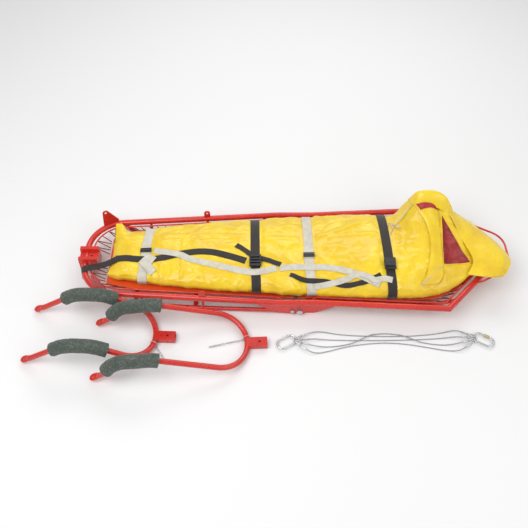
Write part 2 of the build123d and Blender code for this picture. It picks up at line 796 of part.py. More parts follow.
# Socket blocks for the yokes, round the ends of the rim
socket_section = (
    (-socket_width / 2, socket_bottom),
    (socket_width / 2, socket_bottom),
    (socket_width / 2, socket_top),
    (socket_notch / 2 + 6, socket_top),
    (socket_notch / 2, socket_notch_z),
    (-socket_notch / 2, socket_notch_z),
    (-socket_notch / 2 - 6, socket_top),
    (-socket_width / 2, socket_top),
)
channel_width = yoke_spigot_width + 2 * socket_clear
channel_height = yoke_spigot_height + 2 * socket_clear
channel_z = socket_bottom + socket_wall + channel_height / 2
sockets = {}
socket_ends = (("foot", -foot_length, foot_rim_outside), ("head", head_length, head_rim_outside))
for name, end, rim_outside in socket_ends:
    way = 1 if end > 0 else -1
    mouth_x = end + way * socket_lead
    with BuildPart() as socket:
        with BuildSketch(Plane(origin=spot(mouth_x, 0, 0), x_dir=(0, 1, 0), z_dir=(1, 0, 0))):
            with BuildLine():
                Polyline(*socket_section, close=True)
            make_face()
        extrude(amount=-way * socket_length)
        with BuildSketch(Plane(origin=spot(mouth_x, 0, channel_z), x_dir=(0, 1, 0), z_dir=(1, 0, 0))):
            Rectangle(channel_width, channel_height)
        extrude(amount=-way * (socket_length - socket_wall), mode=Mode.SUBTRACT)
        with BuildSketch(Plane(origin=spot(mouth_x - way * socket_pin_from_mouth, 0, 0))):
            Circle(pin_hole_dia / 2)
        extrude(amount=socket_top, mode=Mode.SUBTRACT)
    sockets[name] = socket.part - rim_outside
    save(sockets[name], f"{name}_socket")


def between(values, place, column):
    """A value of a table of stations, at a place between two of them."""
    place = min(max(place, values[0][0]), values[-1][0])
    for low, high in zip(values, values[1:]):
        if place <= high[0]:
            share = (place - low[0]) / (high[0] - low[0])
            return low[column] + share * (high[column] - low[column])
    return values[-1][column]


def bag_section(station, grow):
    """The outline of the bag across its length, as places across and heights. Grow sets it outward."""
    x, half, height = station
    side = min(bag_side_height, height / 2)
    outline = [(half - bag_keel + grow, -grow), (half + grow, side)]
    for step in range(1, bag_steps):
        angle = math.pi / 2 * step / bag_steps
        out = (half + grow) * math.cos(angle) ** (2 / bag_power)
        up = side + (height - side + grow) * math.sin(angle) ** (2 / bag_power)
        outline.append((out, up))
    mirrored = [(-y, z) for y, z in reversed(outline)]
    return outline + [(0, height + grow)] + mirrored


def section_loft(sections):
    """A solid through upright sections, each a place along and an outline across."""
    with BuildPart() as solid:
        for x, outline in sections:
            plane = Plane(origin=spot(x, 0, bag_rest_z), x_dir=(0, 1, 0), z_dir=(1, 0, 0))
            with BuildSketch(plane):
                with BuildLine():
                    Polyline(*outline, close=True)
                make_face()
        loft(ruled=True)
    return solid.part


def bag_solid(grow):
    """The bag's body, set outward by the given amount."""
    return section_loft([(station[0], bag_section(station, grow)) for station in bag_stations])


bag_rest_z = bed_top + bag_rest_gap
bag_body = bag_solid(0.0)
save(bag_body, "bag_body")

# Hood of the bag, open at the throat
hood_sections = []
for x, floor, near_base, far_base, near_out, far_out, near_shoulder, ridge, far_shoulder in hood_stations:
    out_height = max(bag_side_height, floor + 6)
    outline = [(near_base, floor), (near_out, out_height), near_shoulder, ridge, far_shoulder]
    hood_sections.append((x, outline + [(far_out, out_height), (far_base, floor)]))
hood = section_loft(hood_sections)
with BuildPart() as flap:
    with BuildSketch(Plane.XY.offset(flap_z)):
        with BuildLine():
            Polyline(*[(spot(x, y).X, spot(x, y).Y) for x, y in flap_outline], close=True)
        make_face()
    extrude(amount=flap_thick)
with BuildPart() as mouth:
    with BuildSketch(Plane.XY.offset(bag_rest_z + hood_mouth_floor)):
        with BuildLine():
            Polyline(*[(spot(x, y).X, spot(x, y).Y) for x, y in hood_mouth], close=True)
        make_face()
    extrude(amount=hood_mouth_depth)
hood = hood + flap.part - mouth.part
save(hood, "bag_hood")


def ribbon(plane, points, width, thick=webbing_thick):
    """A band of webbing: a line in a plane, given thickness to its left and width across the plane."""
    line = [Vector(u, v) for u, v in points]
    far_line = inset(line, thick)
    outline = line + far_line[::-1]
    with BuildPart() as band:
        with BuildSketch(plane):
            with BuildLine():
                Polyline(*[(point.X, point.Y) for point in outline], close=True)
            make_face()
        extrude(amount=width / 2, both=True)
    return band.part


# Cross straps: over the bag and down both its sides to the bed
under = bag_solid(webbing_gap)
over = bag_solid(webbing_gap + webbing_thick)
strap_low = bag_rest_z + bag_side_height - 2
for name, x in cross_straps.items():
    start, end = x - webbing_width / 2, x + webbing_width / 2
    reach = slab(start, end, -half_width_head, half_width_head, bag_rest_z + strap_tuck, socket_top * 2)
    save((over & reach) - under, name)


def surface_plane(x, y, length, width):
    """A plane just above the cross straps, for a buckle of a size with its middle at a place."""

    def top(along, across):
        station = (along, between(bag_stations, along, 1), between(bag_stations, along, 2))
        outline = bag_section(station, webbing_gap + webbing_thick)
        outline = sorted(corner for corner in outline if corner[1] > 0)
        return bag_rest_z + between(outline, across, 1)

    slope_x = (top(x + length / 2, y) - top(x - length / 2, y)) / length
    slope_y = (top(x, y + width / 2) - top(x, y - width / 2)) / width
    normal = Vector(-slope_x, -slope_y, 1).normalized()
    origin = spot(x, y, top(x, y))
    lift = 0.0
    for step_x in (-0.5, 0, 0.5):
        for step_y in (-0.5, -0.25, 0, 0.25, 0.5):
            along, across = x + step_x * length, y + step_y * width
            lift = max(lift, (spot(along, across, top(along, across)) - origin).dot(normal))
    x_way = Vector(1, 0, slope_x).normalized()
    return Plane(origin=origin + normal * (lift + webbing_gap), x_dir=x_way, z_dir=normal)


# Straps that lie along the bag, in two layers above the cross straps
layer = webbing_gap + webbing_thick
top_only = slab(-foot_length, head_length, -half_width_head, half_width_head, strap_low, socket_top * 2)
lower_layer = (bag_solid(2 * layer) - bag_solid(layer + webbing_gap)) & top_only
upper_layer = (bag_solid(3 * layer) - bag_solid(2 * layer + webbing_gap)) & top_only


def band_in_plan(points, width):
    """An upright band that follows points given from the joint."""
    line = [spot(x, y) for x, y in points]
    edge = inset(line, width / 2)
    other = inset(line, -width / 2)
    outline = edge + other[::-1]
    with BuildPart() as band:
        with BuildSketch():
            with BuildLine():
                Polyline(*[(point.X, point.Y) for point in outline], close=True)
            make_face()
        extrude(amount=socket_top * 2)
    return band.part


def largest(shape):
    """The biggest solid of a cut piece."""
    return shape.solids().sort_by(SortBy.VOLUME)[-1]


for name, (points, width) in long_straps.items():
    shell = upper_layer if name == "strap_long_foot_cream" else lower_layer
    save(largest(shell & band_in_plan(points, width)), name)

# Black strap at the foot: along the bag, over the rim and down outside it
tail_start, tail_end = spot(*tail_points[0]), spot(*tail_points[1])
tail_way = (tail_end - tail_start).normalized()
tail_plane = Plane(origin=tail_start, x_dir=tail_way, z_dir=(tail_way.Y, -tail_way.X, 0))
tail = ribbon(tail_plane, tail_profile, tail_width)
black_top = largest(lower_layer & band_in_plan(foot_black_points, tail_width))
save(largest((black_top + tail) - bag_solid(layer + webbing_gap)), "strap_long_foot_black")

# Buckles
for name, place in (("slider_foot", slider_foot_place), ("slider_head", slider_head_place)):
    with BuildPart() as slider:
        with BuildSketch(surface_plane(*place, slider_length, slider_width)):
            RectangleRounded(slider_length, slider_width, 3)
            with Locations((0, slider_width / 4), (0, -slider_width / 4)):
                Rectangle(slider_slot, slider_width / 5, mode=Mode.SUBTRACT)
        extrude(amount=slider_thick)
    save(slider.part, name)

with BuildPart() as ladder:
    with BuildSketch(surface_plane(*ladder_place, ladder_length, ladder_width)):
        RectangleRounded(ladder_length, ladder_width, 5)
        with GridLocations(0, ladder_width / 4, 1, 3):
            Rectangle(slider_slot, ladder_width / 9, mode=Mode.SUBTRACT)
    extrude(amount=ladder_thick)
save(ladder.part, "ladder_buckle")

release_plane = surface_plane(*release_place, release_width, release_length + prong_bar)
with BuildPart() as release:
    with BuildSketch(release_plane):
        RectangleRounded(release_width, release_length, 6)
    extrude(amount=release_height)
    with BuildSketch(release_plane.offset(release_wall)):
        with Locations((0, -release_wall)):
            Rectangle(release_width - 2 * release_wall, release_length)
    extrude(amount=release_height - 2 * release_wall, mode=Mode.SUBTRACT)
    with BuildSketch(release_plane):
        with Locations((0, release_length / 2 - release_wall * 0.7)):
            Rectangle(slider_slot, release_wall * 0.8, mode=Mode.ADD)
    extrude(amount=release_height / 2, mode=Mode.SUBTRACT)
save(release.part, "release_buckle")

prong_plane = release_plane.offset(release_wall + prong_gap)
prong_half = release_width / 2 - release_wall - prong_gap
prong_root = -release_length / 2 - prong_gap
with BuildPart() as prong:
    with BuildSketch(prong_plane):
        with Locations((0, prong_root - prong_bar / 2)):
            Rectangle(release_width, prong_bar)
        with Locations((0, prong_root + prong_length / 2 - 0.01)):
            with GridLocations(prong_half - prong_leg / 2, 0, 3, 1):
                Rectangle(prong_leg, prong_length)
        with Locations((0, prong_root - prong_bar / 2)):
            Rectangle(slider_slot, prong_bar / 3, mode=Mode.SUBTRACT)
    extrude(amount=release_height - 2 * release_wall - 2 * prong_gap)
save(prong.part, "buckle_prong")


# Shoulder yokes
def yoke(name, bow, turn, half_width, reach, profile, radii, pad_start, pad_length, chain):
    """One yoke with its spigot, pads, and the pin on its chain."""
    frame = Plane(origin=spot(*bow, 0), x_dir=Vector(1, 0, 0).rotate(Axis.Z, turn), z_dir=(0, 0, 1))

    def local(back, across, z):
        return frame.from_local_coords(Vector(-back, across, z))

    last_back, last_z = profile[-1]
    fall = Vector(reach - last_back, tip_z - last_z)
    run = fall.length
    tube_share = tip_tube / run
    arm = [(last_back + fall.X * tube_share, last_z + fall.Y * tube_share)] + list(reversed(profile))
    route = [local(back, -half_width, z) for back, z in arm]
    route += [local(0, -half_width, yoke_bow_z), local(0, half_width, yoke_bow_z)]
    route += [local(back, half_width, z) for back, z in reversed(arm)]
    bow_radius = half_width * bow_roundness
    turns = list(reversed(radii)) + [bow_radius, bow_radius] + list(radii)
    body = tube(route, turns, yoke_dia)
    fall_way = fall.normalized()
    for across in (-half_width, half_width):
        way = frame.x_dir * -fall_way.X + Vector(0, 0, fall_way.Y)
        side_way = frame.y_dir
        start = local(arm[0][0], across, arm[0][1])
        flat = Plane(origin=local(reach, across, tip_z), x_dir=way, z_dir=way.cross(side_way))
        with BuildPart() as tip:
            with BuildSketch(Plane(origin=start, x_dir=side_way, z_dir=way)):
                Circle(yoke_dia / 2)
            with BuildSketch(Plane(origin=start + way * tip_taper, x_dir=side_way, z_dir=way)):
                RectangleRounded(tip_width, tip_thick, tip_thick * 0.45)
            loft()
            with BuildSketch(flat):
                with Locations((-tip_width / 2, 0)):
                    Circle(tip_width / 2)
                with Locations(((tip_taper + tip_tube - run - tip_width / 2) / 2, 0)):
                    Rectangle(run - tip_taper - tip_tube - tip_width / 2, tip_width)
            extrude(amount=tip_thick / 2, both=True)
            with BuildSketch(flat):
                with Locations((-tip_width / 2, 0)):
                    Circle(tip_hole / 2)
            extrude(amount=tip_thick, both=True, mode=Mode.SUBTRACT)
        body = body + tip.part
    with BuildPart() as spigot:
        with BuildSketch(Plane(origin=local(0, 0, yoke_bow_z), x_dir=frame.y_dir, z_dir=frame.x_dir)):
            Rectangle(yoke_spigot_width, yoke_spigot_height)
            inner = 2 * yoke_spigot_wall
            Rectangle(yoke_spigot_width - inner, yoke_spigot_height - inner, mode=Mode.SUBTRACT)
        extrude(amount=yoke_spigot_length)
        with BuildSketch(Plane(origin=local(-socket_pin_from_mouth, 0, 0))):
            Circle(pin_hole_dia / 2)
        extrude(amount=yoke_bow_z * 2, mode=Mode.SUBTRACT)
    save(body + spigot.part, f"yoke_{name}")

    rise = (profile[0][1] - yoke_bow_z) / profile[0][0]
    pad_end = pad_start + pad_length
    share = (pad_end - profile[1][0]) / (profile[2][0] - profile[1][0])
    pad_end_z = profile[1][1] + share * (profile[2][1] - profile[1][1])
    pad_line = [(pad_start, yoke_bow_z + rise * pad_start)] + list(profile[:2]) + [(pad_end, pad_end_z)]
    for side, side_name in sides:
        pad_route = [local(back, side * half_width, z) for back, z in pad_line]
        pad = tube(pad_route, radii[:2], pad_dia, yoke_dia + 2 * pad_bore_gap)
        save(pad, f"pad_{name}_{side_name}")

    ring_across, links, outward, chain_turn = chain
    arc_across = ring_across - math.copysign(half_width - bow_radius, ring_across)
    bow_reach = math.sqrt(bow_radius ** 2 - arc_across ** 2)
    bow_drop = bow_radius - bow_reach
    ring_middle = local(bow_drop, ring_across, yoke_bow_z + bow_drop * rise)
    ring_way = (frame.x_dir * bow_reach + frame.y_dir * arc_across).normalized() * outward
    ring_radius = yoke_dia / 2 + ring_wire / 2 + ring_gap
    way = ring_way.rotate(Axis.Z, chain_turn)
    reach_out = math.sqrt(ring_radius ** 2 - (ring_middle.Z - link_z) ** 2)
    hook = Vector(ring_middle.X, ring_middle.Y, link_z) + ring_way * reach_out
    with BuildPart() as ring:
        ring_wire_middle = ring_middle + ring_way * ring_radius
        with BuildSketch(Plane(origin=ring_wire_middle, x_dir=ring_way, z_dir=(0, 0, 1))):
            Circle(ring_wire / 2)
        revolve(axis=Axis(ring_middle, ring_way.cross(Vector(0, 0, 1))))
    pieces = [ring.part]
    side_normal = way.cross(Vector(0, 0, 1))
    middle = hook + way * (link_length / 2 - link_wire / 2 - ring_wire / 2 - link_wire / 2 - link_gap)
    for index in range(links):
        flat_way = Vector(0, 0, 1) if index % 2 == 0 else side_normal
        pieces.append(chain_link(middle + way * (index * link_pitch), way, flat_way))
    eye_lead = link_length / 2 - link_wire - link_gap + pin_eye
    eye_middle = middle + way * ((links - 1) * link_pitch + eye_lead)
    with BuildPart() as pin:
        neck = eye_middle + way * (pin_eye - link_wire / 2)
        with BuildSketch(Plane(origin=neck, x_dir=way, z_dir=side_normal)):
            Circle(link_wire / 2)
        revolve(axis=Axis(eye_middle, (0, 0, 1)))
        with BuildSketch(Plane(origin=(neck.X, neck.Y, yoke_pin_dia / 2 + pin_ground_gap), z_dir=way)):
            Circle(yoke_pin_dia / 2)
        extrude(amount=yoke_pin_length)
    pieces.append(pin.part)
    save(Compound(children=pieces), f"pin_chain_{name}")


def loop(middle, way, flat_way, length, width, wire):
    """A closed loop of round wire with straight sides, about a middle."""
    across = flat_way.cross(way)
    turn = (width - wire) / 2
    half = (length - wire) / 2 - turn
    with BuildPart() as ring:
        with BuildLine() as route:
            first = Line(middle - way * half + across * turn, middle + way * half + across * turn)
            turn_end = middle + way * half - across * turn
            second = ThreePointArc(first @ 1, middle + way * (half + turn), turn_end)
            third = Line(second @ 1, middle - way * half - across * turn)
            ThreePointArc(third @ 1, middle - way * (half + turn), first @ 0)
        with BuildSketch(Plane(origin=first @ 0, z_dir=way)):
            Circle(wire / 2)
        sweep(path=route.wire())
    return ring.part


def chain_link(middle, way, flat_way):
    """One link of the pin's chain."""
    return loop(middle, way, flat_way, link_length, link_width, link_wire)


yoke(
    "long", long_bow, long_turn, long_half_width, long_reach, long_profile, long_profile_radii,
    long_pad_start, long_pad_length, long_chain,
)
yoke(
    "short", short_bow, short_turn, short_half_width, short_reach, short_profile, short_profile_radii,
    short_pad_start, short_pad_length, short_chain,
)

# Lifting bridle: a karabiner at each end, and four wires with an eye and a ferrule at both ends
karabiner_bodies = []
eyes = []
ferrules = []
wire_ends = {}
bar_half = (karabiner_length - karabiner_bar) / 2
bar_side = (karabiner_width - karabiner_bar) / 2
for name, place, turn, way in (
    ("left", karabiner_left, karabiner_left_turn, 1),
    ("right", karabiner_right, karabiner_right_turn, -1),
):
    along = Vector(way, 0, 0).rotate(Axis.Z, turn)
    lower = along.rotate(Axis.Z, -90 * way)
    middle = spot(*place, karabiner_z)

    def at(u, v):
        return middle + along * u + lower * v

    gate_end = gate_length / 2 + gate_gap
    body_points = [
        at(gate_end, -bar_side),
        at(bar_half, -bar_side),
        at(bar_half, bar_side),
        at(-bar_half, bar_side),
        at(-bar_half, -bar_side),
        at(-gate_end, -bar_side),
    ]
    karabiner_bodies.append(tube(body_points, [karabiner_corner] * 4, karabiner_bar))
    gate_pivot = at((gate_dia - gate_length) / 2, -bar_side)
    gate_round = Pos(gate_pivot) * Sphere(gate_dia / 2)
    rivet_half = Vector(0, 0, gate_dia / 2 + rivet_proud)
    rivet = rod(gate_pivot - rivet_half, gate_pivot + rivet_half, rivet_dia)
    save(rod(gate_pivot, at(gate_length / 2, -bar_side), gate_dia) + gate_round + rivet, f"gate_{name}")
    if name == "right":
        sleeve_start = at(-sleeve_length / 2 - sleeve_shift, -bar_side)
        sleeve = rod(sleeve_start, sleeve_start + along * sleeve_length, sleeve_dia)
        bore = rod(sleeve_start, sleeve_start + along * sleeve_length, gate_dia + 2 * sleeve_gap)
        save(sleeve - bore, "gate_sleeve")
    turn_middle = at(bar_half - karabiner_corner, bar_side - karabiner_corner)
    for number, angle in enumerate(eye_fan, start=1):
        out = along.rotate(Axis.Z, -angle * way)
        inner = karabiner_corner - karabiner_bar / 2 - wire_dia - eye_gap
        eye_middle = turn_middle + out * (inner + eye_length / 2)
        eyes.append(loop(eye_middle, out, out.cross(Vector(0, 0, 1)), eye_length, eye_height, wire_dia))
        ferrule_start = turn_middle + out * (inner + eye_length)
        ferrule_end = ferrule_start + out * ferrule_length
        ferrules.append(rod(ferrule_start, ferrule_end, ferrule_dia))
        wire_ends[name, number] = ferrule_end, out
save(Compound(children=karabiner_bodies), "karabiner_bodies")
save(Compound(children=eyes), "wire_eyes")
save(Compound(children=ferrules), "wire_ferrules")


def cord_radii(points, smallest):
    """The bend radius at each inner point of a cord: as wide as its shorter run allows."""
    radii = []
    for before, here, after in zip(points, points[1:], points[2:]):
        half_turn = math.radians((here - before).get_angle(after - here)) / 2
        shorter = min((here - before).length, (after - here).length)
        radius = min(0.45 * shorter / math.tan(half_turn), cord_widest)
        print(f"turn {2 * math.degrees(half_turn):.0f} degrees, radius {radius:.0f}", radius >= smallest)
        radii.append(radius)
    return radii


for number, inner_points in enumerate(wire_points, start=1):
    start, start_way = wire_ends["left", number]
    end, end_way = wire_ends["right", number]
    points = [start, start + start_way * wire_lead]
    points += [spot(x, y, z) for x, y, z in inner_points]
    points += [end + end_way * wire_lead, end]
    radii = cord_radii(points, 5 * wire_dia)
    wire = tube(points, radii, wire_dia)
    length = route_wire(points, radii).length
    section = math.pi * wire_dia ** 2 / 4
    print(f"wire {number}: length {length:.0f}, volume over section and length", wire.volume / section / length)
    save(wire, f"wire_leg_{number}")
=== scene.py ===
import math

import bmesh
import bpy
import numpy as np
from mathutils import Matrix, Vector, noise
from mathutils.bvhtree import BVHTree


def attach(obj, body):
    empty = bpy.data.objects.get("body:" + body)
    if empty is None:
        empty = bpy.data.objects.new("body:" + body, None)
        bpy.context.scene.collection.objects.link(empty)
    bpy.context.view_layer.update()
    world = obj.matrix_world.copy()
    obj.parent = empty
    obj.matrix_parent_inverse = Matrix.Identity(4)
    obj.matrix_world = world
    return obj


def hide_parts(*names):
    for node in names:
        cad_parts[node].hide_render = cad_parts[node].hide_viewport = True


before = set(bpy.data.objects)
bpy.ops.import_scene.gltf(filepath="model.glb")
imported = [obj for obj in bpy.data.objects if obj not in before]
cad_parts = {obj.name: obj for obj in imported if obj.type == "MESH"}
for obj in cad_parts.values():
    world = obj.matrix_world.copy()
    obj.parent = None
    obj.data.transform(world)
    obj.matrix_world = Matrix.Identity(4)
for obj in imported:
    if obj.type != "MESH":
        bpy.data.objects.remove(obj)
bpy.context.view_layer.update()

# Places along, across and up are given in millimetres from the joint of the two stretcher halves
MM = 0.001
JOINT = Vector((0.114431, 0.1751645, 0.0))
BED_TOP = 53.3
COVER_BOTTOM = 53.6


def spot(along, across, up=0.0):
    """A place of the scene, in metres, for a place on the stretcher."""
    return Vector((along, across, up)) * MM + JOINT


def show(name, data):
    """A new object of the scene that shows a mesh, curve, lamp or camera."""
    piece = bpy.data.objects.new(name, data)
    bpy.context.scene.collection.objects.link(piece)
    return piece


def smooth(mesh):
    mesh.polygons.foreach_set("use_smooth", [True] * len(mesh.polygons))


def new_mesh_object(name, corners, faces, finish, uvs=None):
    """A smooth piece from corners and faces, with a map where its weave follows the piece."""
    mesh = bpy.data.meshes.new(name)
    mesh.from_pydata([tuple(corner) for corner in corners], [], faces)
    piece = show(name, mesh)
    if uvs is not None:
        layer = mesh.uv_layers.new(name="cloth")
        for loop in mesh.loops:
            layer.data[loop.index].uv = uvs[loop.vertex_index]
    smooth(mesh)
    mesh.materials.append(finish)
    mesh.update()
    return piece


def select_only(piece):
    bpy.ops.object.select_all(action="DESELECT")
    piece.select_set(True)
    bpy.context.view_layer.objects.active = piece


def apply_modifier(piece, kind, **settings):
    select_only(piece)
    modifier = piece.modifiers.new(kind.title(), kind)
    for key, value in settings.items():
        setattr(modifier, key, value)
    bpy.ops.object.modifier_apply(modifier=modifier.name)


# Finishes

class Finish:
    """A material with its gloss shader, and short ways to add the patterns that this object needs."""

    def __init__(self, name, colour, roughness, metallic=0.0, **sockets):
        self.material = bpy.data.materials.new(name)
        self.material.use_nodes = True
        self.material.diffuse_color = (*colour, 1)
        self.tree = self.material.node_tree
        self.gloss = self.tree.nodes["Principled BSDF"]
        self.set("Base Color", (*colour, 1))
        self.set("Roughness", roughness)
        self.set("Metallic", metallic)
        for socket, value in sockets.items():
            self.set(socket.replace("_", " "), value)
        self.places = self.tree.nodes.new("ShaderNodeTexCoord")
        self.last_normal = None

    def set(self, socket, value):
        self.gloss.inputs[socket].default_value = value

    def join(self, start, end):
        self.tree.links.new(start, end)

    def where(self, by="Object", stretch=(1, 1, 1), turn=0.0):
        node = self.tree.nodes.new("ShaderNodeMapping")
        node.inputs["Scale"].default_value = stretch
        node.inputs["Rotation"].default_value = (0, 0, turn)
        self.join(self.places.outputs[by], node.inputs["Vector"])
        return node.outputs["Vector"]

    def speckle(self, scale, detail=4.0, rough=0.55, place=None, warp=0.0):
        node = self.tree.nodes.new("ShaderNodeTexNoise")
        node.inputs["Scale"].default_value = scale
        node.inputs["Detail"].default_value = detail
        node.inputs["Roughness"].default_value = rough
        node.inputs["Distortion"].default_value = warp
        self.join(place or self.places.outputs["Object"], node.inputs["Vector"])
        return node.outputs["Fac"]

    def cells(self, scale):
        node = self.tree.nodes.new("ShaderNodeTexVoronoi")
        node.inputs["Scale"].default_value = scale
        self.join(self.places.outputs["Object"], node.inputs["Vector"])
        return node.outputs["Distance"]

    def ribs(self, scale, way, place):
        node = self.tree.nodes.new("ShaderNodeTexWave")
        node.bands_direction = way
        node.inputs["Scale"].default_value = scale
        self.join(place, node.inputs["Vector"])
        return node.outputs["Fac"]

    def steps(self, value, low, high, low_out=0.0, high_out=1.0):
        node = self.tree.nodes.new("ShaderNodeMapRange")
        node.inputs["From Min"].default_value = low
        node.inputs["From Max"].default_value = high
        node.inputs["To Min"].default_value = low_out
        node.inputs["To Max"].default_value = high_out
        self.join(value, node.inputs["Value"])
        return node.outputs["Result"]

    def times(self, first, second):
        node = self.tree.nodes.new("ShaderNodeMath")
        node.operation = "MULTIPLY"
        self.join(first, node.inputs[0])
        if isinstance(second, float):
            node.inputs[1].default_value = second
        else:
            self.join(second, node.inputs[1])
        return node.outputs["Value"]

    def shades(self, value, *stops):
        node = self.tree.nodes.new("ShaderNodeValToRGB")
        ramp = node.color_ramp
        while len(ramp.elements) < len(stops):
            ramp.elements.new(0.5)
        for element, (place, colour) in zip(ramp.elements, stops):
            element.position = place
            element.color = (*colour, 1)
        self.join(value, node.inputs["Fac"])
        return node.outputs["Color"]

    def blend(self, share, first, second):
        node = self.tree.nodes.new("ShaderNodeMix")
        node.data_type = "RGBA"
        self.join(share, node.inputs["Factor"])
        for colour, socket in ((first, node.inputs[6]), (second, node.inputs[7])):
            if isinstance(colour, tuple):
                socket.default_value = (*colour, 1)
            else:
                self.join(colour, socket)
        return node.outputs[2]

    def colour(self, output):
        self.join(output, self.gloss.inputs["Base Color"])

    def roughness(self, value, low, high):
        self.join(self.steps(value, 0.3, 0.7, low, high), self.gloss.inputs["Roughness"])

    def relief(self, height, depth, strength=1.0):
        node = self.tree.nodes.new("ShaderNodeBump")
        node.inputs["Distance"].default_value = depth
        node.inputs["Strength"].default_value = strength
        self.join(height, node.inputs["Height"])
        if self.last_normal is not None:
            self.join(self.last_normal, node.inputs["Normal"])
        self.last_normal = node.outputs["Normal"]
        self.join(self.last_normal, self.gloss.inputs["Normal"])


def painted_tube():
    paint = Finish("red_paint", (0.62, 0.022, 0.012), 0.3, Coat_Weight=0.45, Coat_Roughness=0.12)
    broad = paint.speckle(5.0, 3.0)
    tone = paint.shades(broad, (0.3, (0.55, 0.014, 0.009)), (0.7, (0.70, 0.032, 0.016)))
    grime = paint.steps(paint.speckle(38.0, 8.0, 0.7), 0.60, 0.72)
    tone = paint.blend(paint.times(grime, 0.35), tone, (0.30, 0.02, 0.012))
    chips = paint.steps(paint.speckle(170.0, 6.0, 0.75), 0.735, 0.76)
    paint.colour(paint.blend(chips, tone, (0.35, 0.30, 0.27)))
    paint.roughness(paint.speckle(60.0, 6.0), 0.22, 0.4)
    paint.relief(paint.speckle(420.0, 2.0), 0.0002, 0.35)
    paint.relief(paint.times(chips, -1.0), 0.0002, 0.8)
    return paint.material


def plated_metal(name, colour, roughness):
    metal = Finish(name, colour, roughness, 1.0)
    scratches = metal.speckle(90.0, 6.0, 0.7, metal.where(stretch=(1, 9, 9)))
    dark = tuple(0.6 * part for part in colour)
    metal.colour(metal.shades(scratches, (0.35, dark), (0.6, colour)))
    metal.roughness(metal.speckle(240.0, 5.0), roughness - 0.08, roughness + 0.16)
    metal.relief(scratches, 0.0002, 0.3)
    return metal.material


def foam_rubber():
    foam = Finish("pad_rubber", (0.11, 0.13, 0.11), 0.82, Sheen_Weight=0.15)
    blotches = foam.speckle(46.0, 8.0, 0.68, warp=1.4)
    crumbs = foam.cells(230.0)
    tone = foam.shades(
        blotches,
        (0.36, (0.035, 0.048, 0.040)),
        (0.47, (0.085, 0.110, 0.088)),
        (0.56, (0.15, 0.18, 0.15)),
        (0.68, (0.30, 0.33, 0.29)),
    )
    foam.colour(foam.blend(foam.steps(crumbs, 0.25, 0.6), tone, (0.06, 0.075, 0.062)))
    foam.relief(blotches, 0.003, 0.6)
    foam.relief(crumbs, 0.0012, 0.7)
    return foam.material


# How often a weave repeats
CLOTH_WEAVE = 210.0
WEBBING_ACROSS, WEBBING_ALONG, WEBBING_RIBS = 105.0, 74.0, 18.5
CORD_PLAIT = 182.0


def coated_cloth(name, light, deep, roughness, coat):
    cloth = Finish(name, light, roughness, Coat_Weight=coat, Coat_Roughness=0.16, Sheen_Weight=0.1)
    broad = cloth.speckle(7.0, 5.0, 0.6, warp=0.4)
    tone = cloth.shades(broad, (0.32, deep), (0.62, light))
    scuffs = cloth.steps(cloth.speckle(120.0, 9.0, 0.75), 0.66, 0.74)
    worn = tuple(min(1.0, 0.8 * part + 0.12) for part in light)
    cloth.colour(cloth.blend(cloth.times(scuffs, 0.5), tone, worn))
    cloth.roughness(cloth.speckle(42.0, 7.0, 0.7), roughness - 0.1, roughness + 0.14)
    warp_ribs = cloth.ribs(CLOTH_WEAVE, "X", cloth.where())
    weft_ribs = cloth.ribs(CLOTH_WEAVE, "Y", cloth.where())
    cloth.relief(cloth.times(warp_ribs, weft_ribs), 0.00025, 0.5)
    cloth.relief(cloth.speckle(26.0, 5.0, 0.55, warp=0.6), 0.006, 0.5)
    return cloth.material


def webbing(name, light, deep, roughness):
    band = Finish(name, light, roughness, Sheen_Weight=0.25)
    uv = band.where("UV")
    weave = band.times(band.ribs(WEBBING_ACROSS, "X", uv), band.ribs(WEBBING_ALONG, "Y", uv))
    dirt = band.speckle(30.0, 8.0, 0.7)
    tone = band.shades(dirt, (0.35, deep), (0.62, light))
    between_threads = tuple(0.55 * part for part in deep)
    band.colour(band.blend(band.steps(weave, 0.0, 0.35, 0.45, 0.0), tone, between_threads))
    band.relief(weave, 0.0006, 0.8)
    band.relief(band.ribs(WEBBING_RIBS, "Y", uv), 0.0005, 0.4)
    return band.material


def braided_cord(name, light, deep):
    cord = Finish(name, light, 0.7, Sheen_Weight=0.2)
    one_way = cord.ribs(CORD_PLAIT, "DIAGONAL", cord.where())
    other_way = cord.ribs(CORD_PLAIT, "DIAGONAL", cord.where(turn=1.57))
    plait = cord.times(one_way, other_way)
    cord.colour(cord.shades(plait, (0.05, deep), (0.5, light)))
    cord.relief(plait, 0.0008, 0.8)
    return cord.material


def stranded_wire():
    wire = Finish("wire_rope", (0.56, 0.57, 0.58), 0.34, 1.0)
    lay = wire.ribs(24.0, "DIAGONAL", wire.where("UV", stretch=(1.0, 0.12, 1.0)))
    strands = wire.steps(lay, 0.1, 0.8)
    wire.colour(wire.shades(strands, (0.0, (0.16, 0.16, 0.17)), (0.6, (0.66, 0.67, 0.69))))
    wire.relief(strands, 0.0011, 0.9)
    return wire.material


def moulded(name, colour, roughness):
    plastic = Finish(name, colour, roughness)
    rubbed = tuple(2.2 * part for part in colour)
    plastic.colour(plastic.shades(plastic.speckle(60.0, 6.0), (0.35, colour), (0.75, rubbed)))
    plastic.roughness(plastic.speckle(160.0, 5.0), roughness - 0.08, roughness + 0.12)
    plastic.relief(plastic.speckle(900.0, 2.0), 0.0003, 0.3)
    return plastic.material


